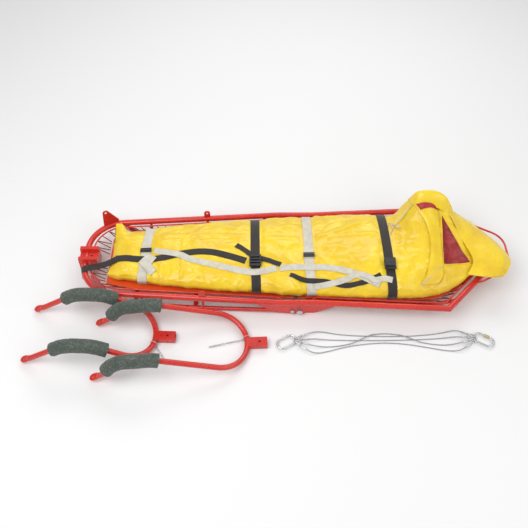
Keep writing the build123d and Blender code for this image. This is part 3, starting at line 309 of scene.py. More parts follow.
red_paint = painted_tube()
bright_steel = plated_metal("bright_steel", (0.74, 0.75, 0.77), 0.27)
brass = plated_metal("brass", (0.78, 0.66, 0.36), 0.3)
pad_rubber = foam_rubber()
bed_cloth = coated_cloth("bed_sheet", (0.93, 0.12, 0.012), (0.74, 0.07, 0.008), 0.42, 0.15)
bag_cloth = coated_cloth("bag_cloth", (0.92, 0.66, 0.010), (0.80, 0.51, 0.006), 0.3, 0.4)
bag_lining = coated_cloth("bag_lining", (0.42, 0.009, 0.014), (0.27, 0.005, 0.010), 0.45, 0.1)
black_webbing = webbing("black_webbing", (0.026, 0.018, 0.014), (0.012, 0.009, 0.008), 0.62)
cream_webbing = webbing("cream_webbing", (0.80, 0.77, 0.66), (0.62, 0.58, 0.48), 0.6)
lacing_cord = braided_cord("lacing_cord", (0.40, 0.035, 0.018), (0.14, 0.012, 0.008))
pale_cord = braided_cord("pale_cord", (0.86, 0.82, 0.66), (0.5, 0.45, 0.3))
black_steel = moulded("black_steel", (0.018, 0.018, 0.02), 0.35)
black_plastic = moulded("black_plastic", (0.022, 0.022, 0.024), 0.42)
wire_rope = stranded_wire()

finishes = {
    "red_paint": red_paint,
    "bright_steel": bright_steel,
    "brass": brass,
    "pad_rubber": pad_rubber,
    "bed_sheet": bed_cloth,
    "bag_cloth": bag_cloth,
    "black_webbing": black_webbing,
    "cream_webbing": cream_webbing,
    "lacing_cord": lacing_cord,
    "black_steel": black_steel,
    "black_plastic": black_plastic,
    "wire_rope": wire_rope,
}
node_finish = {
    "red_paint": (
        "foot_rim", "head_rim", "foot_skids", "head_skids", "foot_braces", "head_braces", "guard_hoop",
        "corner_lugs", "rail_lugs", "foot_joint_plate_near", "foot_joint_plate_far",
        "head_joint_plate_near", "head_joint_plate_far", "foot_socket", "head_socket",
        "foot_lacing_rod", "head_lacing_rod", "yoke_long", "yoke_short",
    ),
    "bright_steel": (
        "rail_spigots", "joint_bolts", "hand_nut_near", "hand_nut_far", "pin_chain_long",
        "pin_chain_short", "karabiner_bodies", "gate_left", "gate_right", "wire_eyes", "wire_ferrules",
    ),
    "brass": ("gate_sleeve",),
    "lacing_cord": ("foot_lacing", "head_lacing"),
    "black_steel": ("slider_foot", "slider_head", "ladder_buckle"),
    "black_plastic": ("release_buckle", "buckle_prong"),
}
for finish_name, nodes in node_finish.items():
    for node in nodes:
        mesh = bpy.data.objects[node].data
        mesh.materials.clear()
        mesh.materials.append(finishes[finish_name])


# Curves through given places

def flow(places, values, place):
    """A smooth value at a place, through values (rows of numbers) given at rising places."""
    last = len(places) - 1
    place = min(max(place, places[0]), places[-1])
    index = 0
    while index < last - 1 and place > places[index + 1]:
        index += 1
    span = places[index + 1] - places[index]

    def slope(at):
        low, high = max(at - 1, 0), min(at + 1, last)
        return (values[high] - values[low]) / (places[high] - places[low])

    share = (place - places[index]) / span
    square, cube = share * share, share ** 3
    return (
        (2 * cube - 3 * square + 1) * values[index]
        + (cube - 2 * square + share) * span * slope(index)
        + (3 * square - 2 * cube) * values[index + 1]
        + (cube - square) * span * slope(index + 1)
    )


def even_path(points, pitch):
    """Points at an even pitch along a smooth line through the given points."""
    values = [np.array(point, dtype=float) for point in points]
    places = [0.0]
    for before, here in zip(values, values[1:]):
        places.append(places[-1] + float(np.linalg.norm(here - before)))
    count = max(2, round(places[-1] / pitch))
    return [flow(places, values, places[-1] * index / count) for index in range(count + 1)]


# Bag: sections across its length, as places across and heights above the ground

BAG_KEEL = 28.0
BAG_SIDE_HEIGHT = 46.0
BAG_STEPS = 5
BAG_FULLNESS = 0.8


def bag_row(half, height):
    """A section of the closed bag, as wide and high as given: upright sides under a flat arch."""
    side = min(BAG_SIDE_HEIGHT, height / 2)
    row = [(half - BAG_KEEL, 0.0), (half, side)]
    for step in range(1, BAG_STEPS):
        angle = math.pi / 2 * step / BAG_STEPS
        out = half * math.cos(angle) ** BAG_FULLNESS
        row.append((out, side + (height - side) * math.sin(angle) ** BAG_FULLNESS))
    near = [(-across, up + BED_TOP) for across, up in row]
    far = [(across, up + BED_TOP) for across, up in reversed(row)]
    return near + [(0.0, height + BED_TOP)] + far


cover_rows = (
    (-930, (
        (-92, 54), (-122, 74), (-128, 92), (-124, 103), (-92, 101), (-50, 97), (10, 99),
        (64, 106), (112, 116), (158, 130), (176, 138), (160, 104), (92, 54),
    )),
    (-895, (
        (-112, 54), (-138, 80), (-140, 100), (-128, 117), (-96, 124), (-48, 126), (8, 128),
        (58, 131), (104, 137), (146, 142), (172, 140), (160, 96), (112, 54),
    )),
    (-850, bag_row(150, 90)),
    (-740, bag_row(172, 97)),
    (-640, bag_row(185, 104)),
    (-540, bag_row(196, 108)),
    (-380, bag_row(212, 114)),
    (-215, bag_row(226, 118)),
    (60, bag_row(246, 126)),
    (430, bag_row(262, 132)),
    (530, bag_row(262, 136)),
    (575, (
        (-233, 54), (-260, 99), (-248, 132), (-214, 154), (-150, 171), (-84, 183), (0, 194),
        (72, 208), (134, 228), (190, 248), (236, 256), (258, 160), (232, 54),
    )),
    (616, (
        (-228, 54), (-256, 98), (-246, 130), (-214, 152), (-158, 170), (-88, 184), (0, 204),
        (72, 228), (130, 258), (184, 294), (226, 322), (254, 206), (230, 54),
    )),
    (672, (
        (-216, 54), (-245, 98), (-238, 128), (-206, 150), (-150, 170), (-80, 188), (8, 213),
        (80, 240), (134, 272), (180, 308), (214, 334), (248, 214), (222, 54),
    )),
    (722, (
        (-200, 54), (-230, 98), (-222, 128), (-188, 150), (-117, 170), (-60, 182), (-6, 200),
        (70, 226), (148, 252), (180, 290), (206, 330), (240, 222), (206, 54),
    )),
    (762, (
        (-174, 54), (-208, 98), (-200, 126), (-172, 144), (-118, 162), (-62, 172), (0, 188),
        (66, 212), (126, 240), (164, 268), (196, 306), (226, 212), (184, 54),
    )),
    (805, (
        (-142, 54), (-178, 98), (-174, 122), (-152, 138), (-108, 153), (-58, 164), (0, 178),
        (62, 204), (106, 212), (148, 224), (182, 236), (200, 176), (146, 54),
    )),
    (860, (
        (-98, 54), (-128, 98), (-138, 120), (-124, 134), (-98, 147), (-58, 156), (-8, 164),
        (40, 172), (82, 176), (120, 174), (158, 166), (168, 120), (98, 54),
    )),
    (884, (
        (-84, 60), (-108, 98), (-128, 120), (-118, 132), (-92, 144), (-54, 152), (-6, 158),
        (38, 164), (76, 166), (112, 164), (146, 156), (156, 116), (84, 60),
    )),
)
row_places = [float(place) for place, _ in cover_rows]
row_values = [np.array(row, dtype=float) for _, row in cover_rows]
CONTROLS = 13
control_places = [float(index) for index in range(CONTROLS)]


def cover_section(along, count):
    """Places across and heights at even steps round the top of the bag, from its near base."""
    controls = flow(row_places, row_values, along)
    span = CONTROLS - 1.0
    return [flow(control_places, controls, span * index / count) for index in range(count + 1)]


TOP_COUNT = 116
BASE_COUNT = 8
COVER_START, COVER_END = -930.0, 884.0
COVER_PITCH = 6.2

cross_places = (-752.0, -203.0, 62.0, 455.0)

# Folds of the bag: points in plan, height, half width
ridges = (
    (((-735, 84), (-575, 86), (-400, 76), (-227, 66)), 9.0, 11.0),
    (((-180, 62), (-60, 50), (26, 44)), 7.0, 11.0),
    (((86, 55), (150, 74), (240, 112), (415, 200)), 8.0, 12.0),
    (((84, 52), (200, 66), (330, 72), (420, 92)), 6.0, 10.0),
    (((-700, -60), (-660, -110), (-670, -165)), 7.0, 12.0),
    (((-574, -76), (-560, -130), (-569, -180)), 6.0, 10.0),
    (((-574, -78), (-510, -130), (-442, -190)), 6.0, 12.0),
    (((-700, 130), (-640, 150), (-560, 165)), 7.0, 13.0),
    (((-560, 60), (-500, 110), (-430, 175)), 5.0, 12.0),
    (((-420, 30), (-330, 4), (-240, 14)), 5.0, 13.0),
    (((-400, 150), (-320, 130), (-240, 150)), 6.0, 14.0),
    (((-430, -200), (-360, -170), (-300, -205)), 6.0, 13.0),
    (((-160, 160), (-90, 120), (10, 150)), 6.0, 14.0),
    (((-150, -30), (-80, -70), (-20, -60)), 5.0, 11.0),
    (((-40, -165), (8, -224), (40, -255)), 8.0, 12.0),
    (((-150, -190), (-90, -220), (-60, -235)), 6.0, 12.0),
    (((110, -170), (150, -215), (240, -240)), 6.0, 12.0),
    (((110, -20), (200, 0), (280, -30)), 5.0, 14.0),
    (((150, 170), (240, 190), (350, 215)), 6.0, 13.0),
    (((300, -120), (350, -90), (415, -100)), 5.0, 11.0),
    (((-900, 120), (-850, 60), (-800, 40)), 6.0, 12.0),
    (((-905, -60), (-860, -90), (-800, -120)), 5.0, 12.0),
    (((500, 120), (540, 40), (530, -60)), 5.0, 12.0),
    (((520, -200), (600, -150), (700, -130)), 5.0, 12.0),
    (((610, -120), (630, -60), (640, 40)), 5.0, 13.0),
    (((560, 150), (590, 90), (600, 30)), 6.0, 12.0),
    (((480, 100), (520, 150), (560, 190)), 6.0, 14.0),
    (((760, -150), (800, -130), (850, -110)), 6.0, 10.0),
    (((700, -180), (740, -170), (790, -150)), 6.0, 9.0),
)
creases = (
    (((-735, 68), (-575, 70), (-400, 60), (-227, 50)), -5.0, 7.0),
    (((84, 40), (150, 56), (240, 92), (415, 180)), -5.0, 8.0),
    (((-585, 105), (-581, -62), (-576, -185)), -5.0, 6.0),
    (((-640, -80), (-625, -130), (-640, -170)), -6.0, 10.0),
    (((-520, -90), (-480, -150), (-420, -195)), -5.0, 9.0),
    (((-10, -150), (26, -215), (60, -250)), -6.0, 9.0),
    (((520, 60), (500, -20), (515, -90)), -4.0, 10.0),
    (((640, -170), (720, -150), (800, -135)), -5.0, 8.0),
)

# Lines on which a strap presses the folds flat: points in plan, half width
quiet_lines = (
    (((-900, -50), (-797, -61), (-672, -60), (-598, -42), (-513, -28), (-355, -50), (-225, -95)), 24.0),
    (((-709, -14), (-631, -30), (-526, -73), (-406, -107), (-272, -141), (-135, -148)), 20.0),
    (((-88, -136), (16, -131), (143, -112), (290, -160), (400, -196)), 20.0),
)


def line_distance(points, plan):
    """The distance of each place in plan from a run of points, and its share along that run."""
    nearest = np.full(len(plan), 1e9)
    share = np.zeros(len(plan))
    spans = len(points) - 1
    for index in range(spans):
        start = np.array(points[index], dtype=float)
        way = np.array(points[index + 1], dtype=float) - start
        t = np.clip(((plan - start) @ way) / (way @ way), 0, 1)
        distance = np.linalg.norm(plan - (start + t[:, None] * way), axis=1)
        closer = distance < nearest
        nearest = np.where(closer, distance, nearest)
        share = np.where(closer, (index + t) / spans, share)
    return nearest, share


def ease(value, low, high):
    """Rises smoothly from 0 to 1 between two values."""
    share = np.clip((value - low) / (high - low), 0, 1)
    return share * share * (3 - 2 * share)


# Blender's noise vectors start from the clock unless a seed is set. This is the draw that is used
FOLD_DRAW = 1796116969
noise.seed_set(FOLD_DRAW)


def fold_heights(plan, height):
    """How far the cloth stands out from its plain shape at each place."""
    out = np.zeros(len(plan))
    for points, rise, half in ridges + creases:
        distance, share = line_distance(points, plan)
        fade = ease(share, -0.02, 0.25) * ease(1 - share, -0.02, 0.25)
        out += rise * fade * np.exp(-((distance / half) ** 2))
    for index, (along, across) in enumerate(plan):
        if height[index] < 60:
            continue
        place = Vector((along * 0.011, across * 0.017, 0.3))
        bent = place + 0.6 * noise.noise_vector(place * 0.7)
        sharp = 1 - abs(noise.noise(bent))
        fine = 1 - abs(noise.noise(bent * 2.7 + Vector((7.1, 3.3, 0))))
        out[index] += 5.5 * (sharp ** 4 - 0.35) + 2.2 * (fine ** 3 - 0.4)
        out[index] += 4.0 * noise.noise(Vector((along * 0.004, across * 0.008, 5.0)))
    for place in cross_places:
        gap = np.abs(plan[:, 0] - place)
        side = np.sign(plan[:, 0] - place)
        gather = np.sin(plan[:, 1] * 0.13 + side * 1.3) + 0.6 * np.sin(plan[:, 1] * 0.31 + side)
        out += 2.4 * gather * ease(gap, 20, 34) * np.exp(-gap / 46)
        out *= ease(gap, 22, 52) * 0.92 + 0.08
        out -= 5.0 * (1 - ease(gap, 18, 60))
    for points, half in quiet_lines:
        distance, _ = line_distance(points, plan)
        out *= 0.45 + 0.55 * ease(distance, half - 4, half + 22)
    return out * ease(height, 62, 96)


def ear(point, tip, reach):
    """A corner of the bag drawn out towards its sewn tip."""
    pull = max(0.0, 1 - (point - tip).length / reach)
    return point + (tip - point) * (pull * pull * 0.96)


MOUTH = ((720.0, -116.0), (868.0, -86.0), (734.0, 150.0))
MOUTH_SIDES = tuple(zip(MOUTH, MOUTH[1:] + MOUTH[:1]))
END_BULGE = 0.006


def build_cover():
    """The bag and its hood as one closed shell, with its folds and its drawn-out corners."""
    columns = round((COVER_END - COVER_START) / COVER_PITCH)
    ring = TOP_COUNT + BASE_COUNT
    corners, plan = [], []
    for column in range(columns + 1):
        along = COVER_START + (COVER_END - COVER_START) * column / columns
        section = cover_section(along, TOP_COUNT)
        start, end = section[-1], section[0]
        section += [start + (end - start) * step / BASE_COUNT for step in range(1, BASE_COUNT)]
        corners += [spot(along, across, max(up, COVER_BOTTOM)) for across, up in section]
        plan += [(along, across) for across, _ in section]
    faces = []
    for column in range(columns):
        for step in range(ring):
            first, second = column * ring + step, column * ring + (step + 1) % ring
            faces.append((first, second, second + ring, first + ring))
    for base, order in ((0, 1), (columns * ring, -1)):
        middle = sum((corners[base + step] for step in range(ring)), Vector()) / ring
        middle.x += END_BULGE * order
        corners.append(middle)
        plan.append((0.0, 0.0))
        for step in range(ring):
            first, second = (base + step, base + (step + 1) % ring)[::-order]
            faces.append((first, second, len(corners) - 1))
    cover = new_mesh_object("bag_cover", corners, faces, bag_cloth)
    mesh = cover.data
    mesh.update()
    normals = np.empty(len(mesh.vertices) * 3)
    mesh.vertices.foreach_get("normal", normals)
    normals = normals.reshape(-1, 3)
    places = np.array([tuple(corner) for corner in corners])
    folds = fold_heights(np.array(plan, dtype=float), places[:, 2] * 1000)
    on_top = ring * 20 + TOP_COUNT // 2
    outward = -1.0 if normals[on_top][2] < 0 else 1.0
    places += normals * outward * folds[:, None] * MM
    tips = (
        (spot(-948, -122, 108), 0.075),
        (spot(-884, 212, 160), 0.085),
    )
    for index, vertex in enumerate(mesh.vertices):
        point = Vector(places[index])
        for tip, reach in tips:
            point = ear(point, tip, reach)
        point.z = max(point.z, COVER_BOTTOM * MM)
        vertex.co = point
    if outward < 0:
        mesh.flip_normals()
    mesh.update()
    return cover


bag_cover = build_cover()


def tree_of(*pieces):
    """One surface for finding places on the pieces laid so far."""
    corners, faces = [], []
    for piece in pieces:
        base = len(corners)
        corners += [vertex.co.copy() for vertex in piece.data.vertices]
        faces += [[base + index for index in polygon.vertices] for polygon in piece.data.polygons]
    return BVHTree.FromPolygons(corners, faces)


MOUTH_MIDDLE = spot(774, -17)
MOUTH_NEIGHBOURHOOD = spot(770, 0, 190)
MOUTH_REACH = 0.22
MOUTH_LOWEST = 0.12


def cut_mouth():
    """Opens the hood along straight sides. Gives the surface as it was before the cut."""
    whole = tree_of(bag_cover)
    mesh = bmesh.new()
    mesh.from_mesh(bag_cover.data)
    walls = []
    for first, second in MOUTH_SIDES:
        start, end = spot(*first), spot(*second)
        wall = (end - start).cross(Vector((0, 0, 1))).normalized()
        if (MOUTH_MIDDLE - start).dot(wall) < 0:
            wall = -wall
        walls.append((start, wall))
        near = []
        for face in mesh.faces:
            away = (face.calc_center_median() - MOUTH_NEIGHBOURHOOD).length
            if face.normal.z > 0.2 and away < MOUTH_REACH:
                near.append(face)
        geometry = near + list({edge for face in near for edge in face.edges})
        geometry += list({vertex for face in near for vertex in face.verts})
        bmesh.ops.bisect_plane(mesh, geom=geometry, dist=1e-6, plane_co=start, plane_no=wall)
    gone = []
    for face in mesh.faces:
        middle = face.calc_center_median()
        inside = all((middle - start).dot(wall) > 1e-5 for start, wall in walls)
        if inside and face.normal.z > 0.1 and middle.z > MOUTH_LOWEST:
            gone.append(face)
    bmesh.ops.delete(mesh, geom=gone, context="FACES")
    mesh.to_mesh(bag_cover.data)
    mesh.free()
    bag_cover.data.update()
    return whole


whole_cover = cut_mouth()


ABOVE_ALL = 0.6


def height_on(tree, along, across):
    """The highest place of a surface above a place in plan, or nothing where there is none."""
    top = spot(along, across, 0)
    hit = tree.ray_cast(Vector((top.x, top.y, ABOVE_ALL)), Vector((0, 0, -1)))
    return hit[0].z if hit[0] is not None else None


def band_mesh(name, path, ways, ups, width, thick, finish):
    """A band of webbing along a path, with rounded selvedges, and a map along and across it in metres."""
    half, lift, edge = width / 2, thick / 2, thick * 0.45
    profile = [
        (-half, 0.0), (-half + edge * 0.4, lift * 0.8), (-half + edge * 2, lift), (0.0, lift),
        (half - edge * 2, lift), (half - edge * 0.4, lift * 0.8), (half, 0.0),
        (half - edge * 0.4, -lift * 0.8), (half - edge * 2, -lift), (0.0, -lift),
        (-half + edge * 2, -lift), (-half + edge * 0.4, -lift * 0.8),
    ]
    corners, faces, uvs = [], [], []
    run = 0.0
    for index, point in enumerate(path):
        if index:
            run += (point - path[index - 1]).length
        for across, up in profile:
            corners.append(point + ways[index] * across + ups[index] * up)
            uvs.append((run, across))
    count = len(profile)
    for index in range(len(path) - 1):
        for step in range(count):
            first, second = index * count + step, index * count + (step + 1) % count
            faces.append((first, first + count, second + count, second))
    faces.append(tuple(range(count)))
    faces.append(tuple(reversed(range((len(path) - 1) * count, len(path) * count))))
    return new_mesh_object(name, corners, faces, finish, uvs)


def evened(values, reach, rounds=1):
    """Running means of a list of numbers or points."""
    for _ in range(rounds):
        windows = [values[max(0, index - reach):index + reach + 1] for index in range(len(values))]
        values = [sum(window, values[0] * 0) / len(window) for window in windows]
    return values


LAID_PITCH = 6.0
LAID_SHARES = (-0.46, -0.23, 0.0, 0.23, 0.46)
LAID_SHARE_SPREAD = 1.38


def laid_band(name, tree, points, width, thick, finish, lift=0.0, stiff=4):
    """A strap laid along the top of what is there, through points in plan."""
    plan = even_path(points, LAID_PITCH)
    heights, tilts, ways = [], [], []
    for index, place in enumerate(plan):
        before, after = plan[max(index - 1, 0)], plan[min(index + 1, len(plan) - 1)]
        way = (after - before) / np.linalg.norm(after - before)
        side = np.array((-way[1], way[0]))
        found = []
        for share in LAID_SHARES:
            at = place + side * width * share
            up = height_on(tree, *at)
            found.append(up if up is not None else (heights[-1] if heights else 0.1))
        tilt = (found[4] + found[3] - found[1] - found[0]) / LAID_SHARE_SPREAD / width * 1000
        level = max(up - tilt * share * width * MM for up, share in zip(found, LAID_SHARES))
        heights.append(level)
        tilts.append(tilt)
        ways.append(side)
    tops = [max(heights[max(0, i - 1):i + 2]) for i in range(len(heights))]
    tops = evened(tops, stiff, 2)
    tilts = evened(tilts, stiff, 2)
    path, sides, ups = [], [], []
    for index, place in enumerate(plan):
        rise = max(tops[index], heights[index]) + (thick / 2 + lift) * MM
        path.append(Vector((*spot(*place).xy, rise)))
        sides.append(Vector((*ways[index], tilts[index])).normalized())
    for index in range(len(path)):
        way = path[min(index + 1, len(path) - 1)] - path[max(index - 1, 0)]
        up = way.cross(sides[index]).normalized()
        ups.append(up if up.z > 0 else -up)
    return band_mesh(name, path, sides, ups, width * MM, thick * MM, finish)


CROSS_COUNT = 220
CROSS_END = 4
CROSS_SHARES = (-0.42, -0.2, 0.0, 0.2, 0.42)
CROSS_LOOK_OUT = 0.03


def cross_band(name, tree, middle, width, thick, finish, sway):
    """A strap over the bag from the bed on one side to the bed on the other, swaying a little along it."""
    path, ups = [], []
    section = cover_section(middle, CROSS_COUNT)
    outs = []
    for index, (across, up) in enumerate(section):
        before, after = section[max(index - 1, 0)], section[min(index + 1, CROSS_COUNT)]
        run = Vector((0, after[0] - before[0], after[1] - before[1])).normalized()
        out = Vector((0, -run.z, run.y))
        ups.append(out)
        reaches = []
        for share in CROSS_SHARES:
            start = spot(middle + share * width, across, up) + out * CROSS_LOOK_OUT
            hit = tree.ray_cast(start, -out, 2 * CROSS_LOOK_OUT)
            if hit[0] is not None:
                reaches.append(CROSS_LOOK_OUT - hit[3])
        outs.append(max(reaches) if reaches else -0.004)
    outs = [max(outs[max(0, i - 2):i + 3]) for i in range(len(outs))]
    outs = evened(outs, 5, 2)
    sway_places, sway_shifts = zip(*sway)
    for index, (across, up) in enumerate(section):
        shift = float(flow(sway_places, sway_shifts, across))
        path.append(spot(middle + shift, across, up) + ups[index] * (outs[index] + thick * 0.6 * MM))
    path = path[CROSS_END:-CROSS_END]
    ups = [up.normalized() for up in evened(ups, 3)[CROSS_END:-CROSS_END]]
    ways = [Vector((1, 0, 0))] * len(path)
    return band_mesh(name, path, ways, ups, width * MM, thick * MM, finish)


def settle(piece, body, slot, *nodes):
    """Puts a finished piece on its body and in the place of its plain solids; its slot argument is not used.
    """
    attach(piece, body)
    if nodes:
        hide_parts(*nodes)


# Cross straps: colour, half of the stretcher, and how far each sways along at places across
CROSS_WIDTH, CROSS_THICK = 46.0, 2.0
LAID_THICK = 1.8
webbings = {"cream_webbing": cream_webbing, "black_webbing": black_webbing}
straps = {}
cross_look = {
    "strap_foot_cream": (
        "cream_webbing", "foot_half", ((-160.0, -10.0), (-60.0, 0.0), (40.0, 0.0), (150.0, 6.0)),
    ),
    "strap_foot_black": (
        "black_webbing", "foot_half", ((-220.0, 6.0), (-90.0, 0.0), (40.0, -2.0), (200.0, -4.0)),
    ),
    "strap_head_cream": (
        "cream_webbing", "head_half", ((-240.0, 10.0), (-100.0, 0.0), (20.0, 0.0), (210.0, -4.0)),
    ),
    "strap_head_black": (
        "black_webbing", "head_half", ((-250.0, 8.0), (-120.0, 0.0), (-20.0, -2.0), (220.0, -8.0)),
    ),
}
for place, (node, (slot, body, sway)) in zip(cross_places, cross_look.items()):
    strap = cross_band(
        f"{node}_band", whole_cover, place, CROSS_WIDTH, CROSS_THICK, webbings[slot], sway,
    )
    settle(strap, body, slot, node)
    straps[node] = strap


def lay(node, points, width, slot, body, replaces=(), **look):
    """Lays one more strap on the bag and on the straps that lie there already."""
    tree = tree_of(bag_cover, *straps.values())
    band = laid_band(f"{node}_band", tree, points, width, LAID_THICK, webbings[slot], **look)
    settle(band, body, slot, *replaces)
    straps[node] = band


# Straps that lie along the bag
lay(
    "strap_long_foot_black",
    ((-905, -45), (-850, -50), (-797, -60), (-744, -66), (-672, -60), (-598, -42), (-513, -28), (-430, -30),
     (-355, -50), (-250, -88)),
    38, "black_webbing", "foot_half", ("strap_long_foot_black",), stiff=3,
)
lay(
    "strap_long_foot_cream",
    ((-712, -12), (-631, -30), (-573, -46), (-526, -72), (-466, -90), (-406, -107), (-340, -126),
     (-272, -143), (-200, -152), (-98, -134)),
    34, "cream_webbing", "foot_half", ("strap_long_foot_cream",),
)
lay(
    "strap_long_head_black",
    ((-34, -172), (32, -196), (100, -204), (166, -216), (230, -226), (300, -218), (345, -206), (408, -176)),
    26, "black_webbing", "head_half", ("strap_long_head_black",),
)
lay(
    "strap_long_head_cream",
    ((-86, -134), (-20, -130), (25, -130), (90, -132), (143, -134), (236, -152), (290, -172), (341, -198),
     (400, -226)),
    34, "cream_webbing", "head_half", ("strap_long_head_cream",),
)
lay(
    "strap_spare_cream",
    ((82, -228), (162, -222), (244, -196), (299, -172), (345, -186), (377, -206), (427, -196), (462, -204)),
    30, "cream_webbing", "head_half",
)
lay(
    "strap_tail_black", ((-299, 8), (-250, -28), (-222, -52), (-190, -68), (-150, -84), (-78, -114)),
    28, "black_webbing", "foot_half", lift=0.4,
)
lay(
    "knot_foot_cream", ((-716, -44), (-738, -76), (-762, -104)),
    56, "cream_webbing", "foot_half", lift=2.0, stiff=2,
)
lay(
    "knot_foot_tail", ((-762, -78), (-738, -104), (-704, -142)),
    40, "cream_webbing", "foot_half", lift=1.0, stiff=2,
)

# The free end of the black strap, from the bag's foot end over the rim
free_end_points = (
    (-878, -43, 133), (-900, -48, 130), (-925, -54, 118), (-950, -60, 108), (-985, -69, 103),
    (-1030, -82, 105), (-1048, -88, 107.5), (-1058, -91, 107.5), (-1068, -93, 103), (-1074, -94, 94),
    (-1076, -95, 75), (-1077, -95, 46),
)
FREE_END_PITCH, FREE_END_WIDTH = 5.0, 38.0
free_end_side = Vector((0.254, -0.967, 0))
free_end_spots = [spot(*point) for point in free_end_points]
free_end_path = [Vector(place) for place in even_path(free_end_spots, FREE_END_PITCH * MM)]
free_end_ups = []
for index in range(len(free_end_path)):
    after = free_end_path[min(index + 1, len(free_end_path) - 1)]
    way = after - free_end_path[max(index - 1, 0)]
    free_end_ups.append(way.cross(free_end_side).normalized())
free_end = band_mesh(
    "strap_free_end_band", free_end_path, [free_end_side] * len(free_end_path), free_end_ups,
    FREE_END_WIDTH * MM, LAID_THICK * MM, black_webbing,
)
settle(free_end, "foot_half", "black_webbing")

settle(bag_cover, "head_half", "bag_cloth", "bag_body", "bag_hood")


# Sheets of the hood, each through rows of places

def cloth_patch(name, rows, finish, thick, steps, ripple):
    """A curved sheet through a grid of places, with small ripples, a map in metres, and a thickness."""
    grid = [[np.array(spot(*place)) for place in row] for row in rows]
    rails = [even_row(row, steps[0]) for row in grid]
    count = steps[0] + 1
    places = [float(index) for index in range(len(rails))]
    corners, uvs = [], []
    for step in range(steps[1] + 1):
        at = places[-1] * step / steps[1]
        for index in range(count):
            corners.append(Vector(flow(places, [rail[index] for rail in rails], at)))
    for corner in corners:
        seed = Vector((corner.x * 14, corner.y * 14, 2.0))
        corner.z += ripple * MM * (noise.noise(seed) + 0.5 * noise.noise(seed * 3))
        uvs.append((corner.x, corner.y))
    faces = []
    for step in range(steps[1]):
        for index in range(steps[0]):
            first = step * count + index
            faces.append((first, first + 1, first + count + 1, first + count))
    sheet = new_mesh_object(name, corners, faces, finish, uvs)
    if sheet.data.polygons[len(faces) // 2].normal.z < 0:
        sheet.data.flip_normals()
    apply_modifier(sheet, "SOLIDIFY", thickness=thick * MM, offset=0.0)
    return sheet


def even_row(row, count):
    """Places at even steps along a smooth line through a row of places."""
    places = [0.0]
    for before, here in zip(row, row[1:]):
        places.append(places[-1] + float(np.linalg.norm(here - before)))
    return [flow(places, row, places[-1] * index / count) for index in range(count + 1)]


def over_cover(along, across, lift):
    """A place at a height above the bag's cover."""
    up = height_on(whole_cover, along, across)
    return (along, across, up * 1000 + lift)


def row_over_cover(lift, *plan):
    return tuple(over_cover(along, across, lift) for along, across in plan)


# Wing: the back of the hood, spread over the guard hoop
wing = cloth_patch(
    "hood_wing",
    (
        ((752, 186, 268), (790, 122, 232), (836, 24, 186), (872, -84, 166), (840, -150, 142)),
        ((792, 196, 232), (834, 124, 206), (884, 20, 184), (908, -86, 172), (890, -166, 150)),
        ((846, 196, 190), (892, 122, 184), (942, 14, 184), (962, -88, 178), (930, -176, 158)),
        ((884, 190, 164), (934, 118, 168), (990, 4, 178), (1016, -86, 174), (972, -178, 160)),
        ((900, 186, 158), (946, 122, 158), (1004, 34, 160), (1046, -60, 158), (1000, -170, 154)),
        ((906, 184, 152), (952, 124, 148), (1018, 44, 146), (1066, -68, 146), (1012, -166, 148)),
    ),
    bag_cloth, 1.8, (60, 48), 2.5,
)

# Throat: the panel in front of the opening, from its free left edge to the opening's hem
throat = cloth_patch(
    "hood_throat",
    (
        row_over_cover(
            6.5, (588, 196), (618, 140), (650, 90), (666, 10),
            (662, -55), (643, -138), (626, -190), (600, -224),
        ),
        row_over_cover(
            8.0, (600, 196), (634, 140), (664, 88), (680, 8),
            (676, -58), (660, -138), (642, -192), (616, -226),
        ),
        row_over_cover(
            5.0, (660, 190), (676, 140), (690, 86), (702, 4),
            (700, -62), (692, -134), (676, -190), (650, -222),
        ),
        row_over_cover(
            3.0, (722, 176), (722, 144), (721, 84), (719, 2),
            (719, -66), (717, -122), (712, -178), (690, -212),
        ),
    ),
    bag_cloth, 1.6, (90, 16), 1.0,
)

# Brim: the roll over the far peak of the hood, and the lining that shows under it
brim = cloth_patch(
    "hood_brim",
    (
        (
            (574, 236, 262), (610, 236, 318), (660, 232, 336),
            (716, 222, 334), (756, 206, 312), (792, 194, 250),
        ),
        (
            (578, 226, 270), (612, 222, 332), (662, 216, 346),
            (716, 206, 342), (756, 192, 318), (794, 184, 248),
        ),
        (
            (582, 208, 272), (610, 200, 318), (660, 192, 330),
            (712, 184, 324), (750, 172, 296), (786, 170, 240),
        ),
        (
            (586, 192, 268), (606, 178, 292), (658, 164, 294),
            (706, 160, 284), (736, 154, 268), (772, 150, 236),
        ),
    ),
    bag_cloth, 1.8, (60, 24), 1.6,
)
brim_lining = cloth_patch(
    "hood_brim_lining",
    (
        row_over_cover(9.5, (604, 176), (640, 172), (680, 168), (714, 162)),
        row_over_cover(10.0, (614, 160), (642, 160), (680, 158), (716, 156)),
        row_over_cover(10.0, (624, 146), (642, 148), (680, 152), (716, 154)),
    ),
    bag_lining, 1.2, (24, 8), 0.5,
)


LINING_STEPS = 64
LINING_UNDERLAP = 1.02
LINING_DROP = 92.0
LINING_PLEAT = 5.0
LINING_LOWEST = 62.0


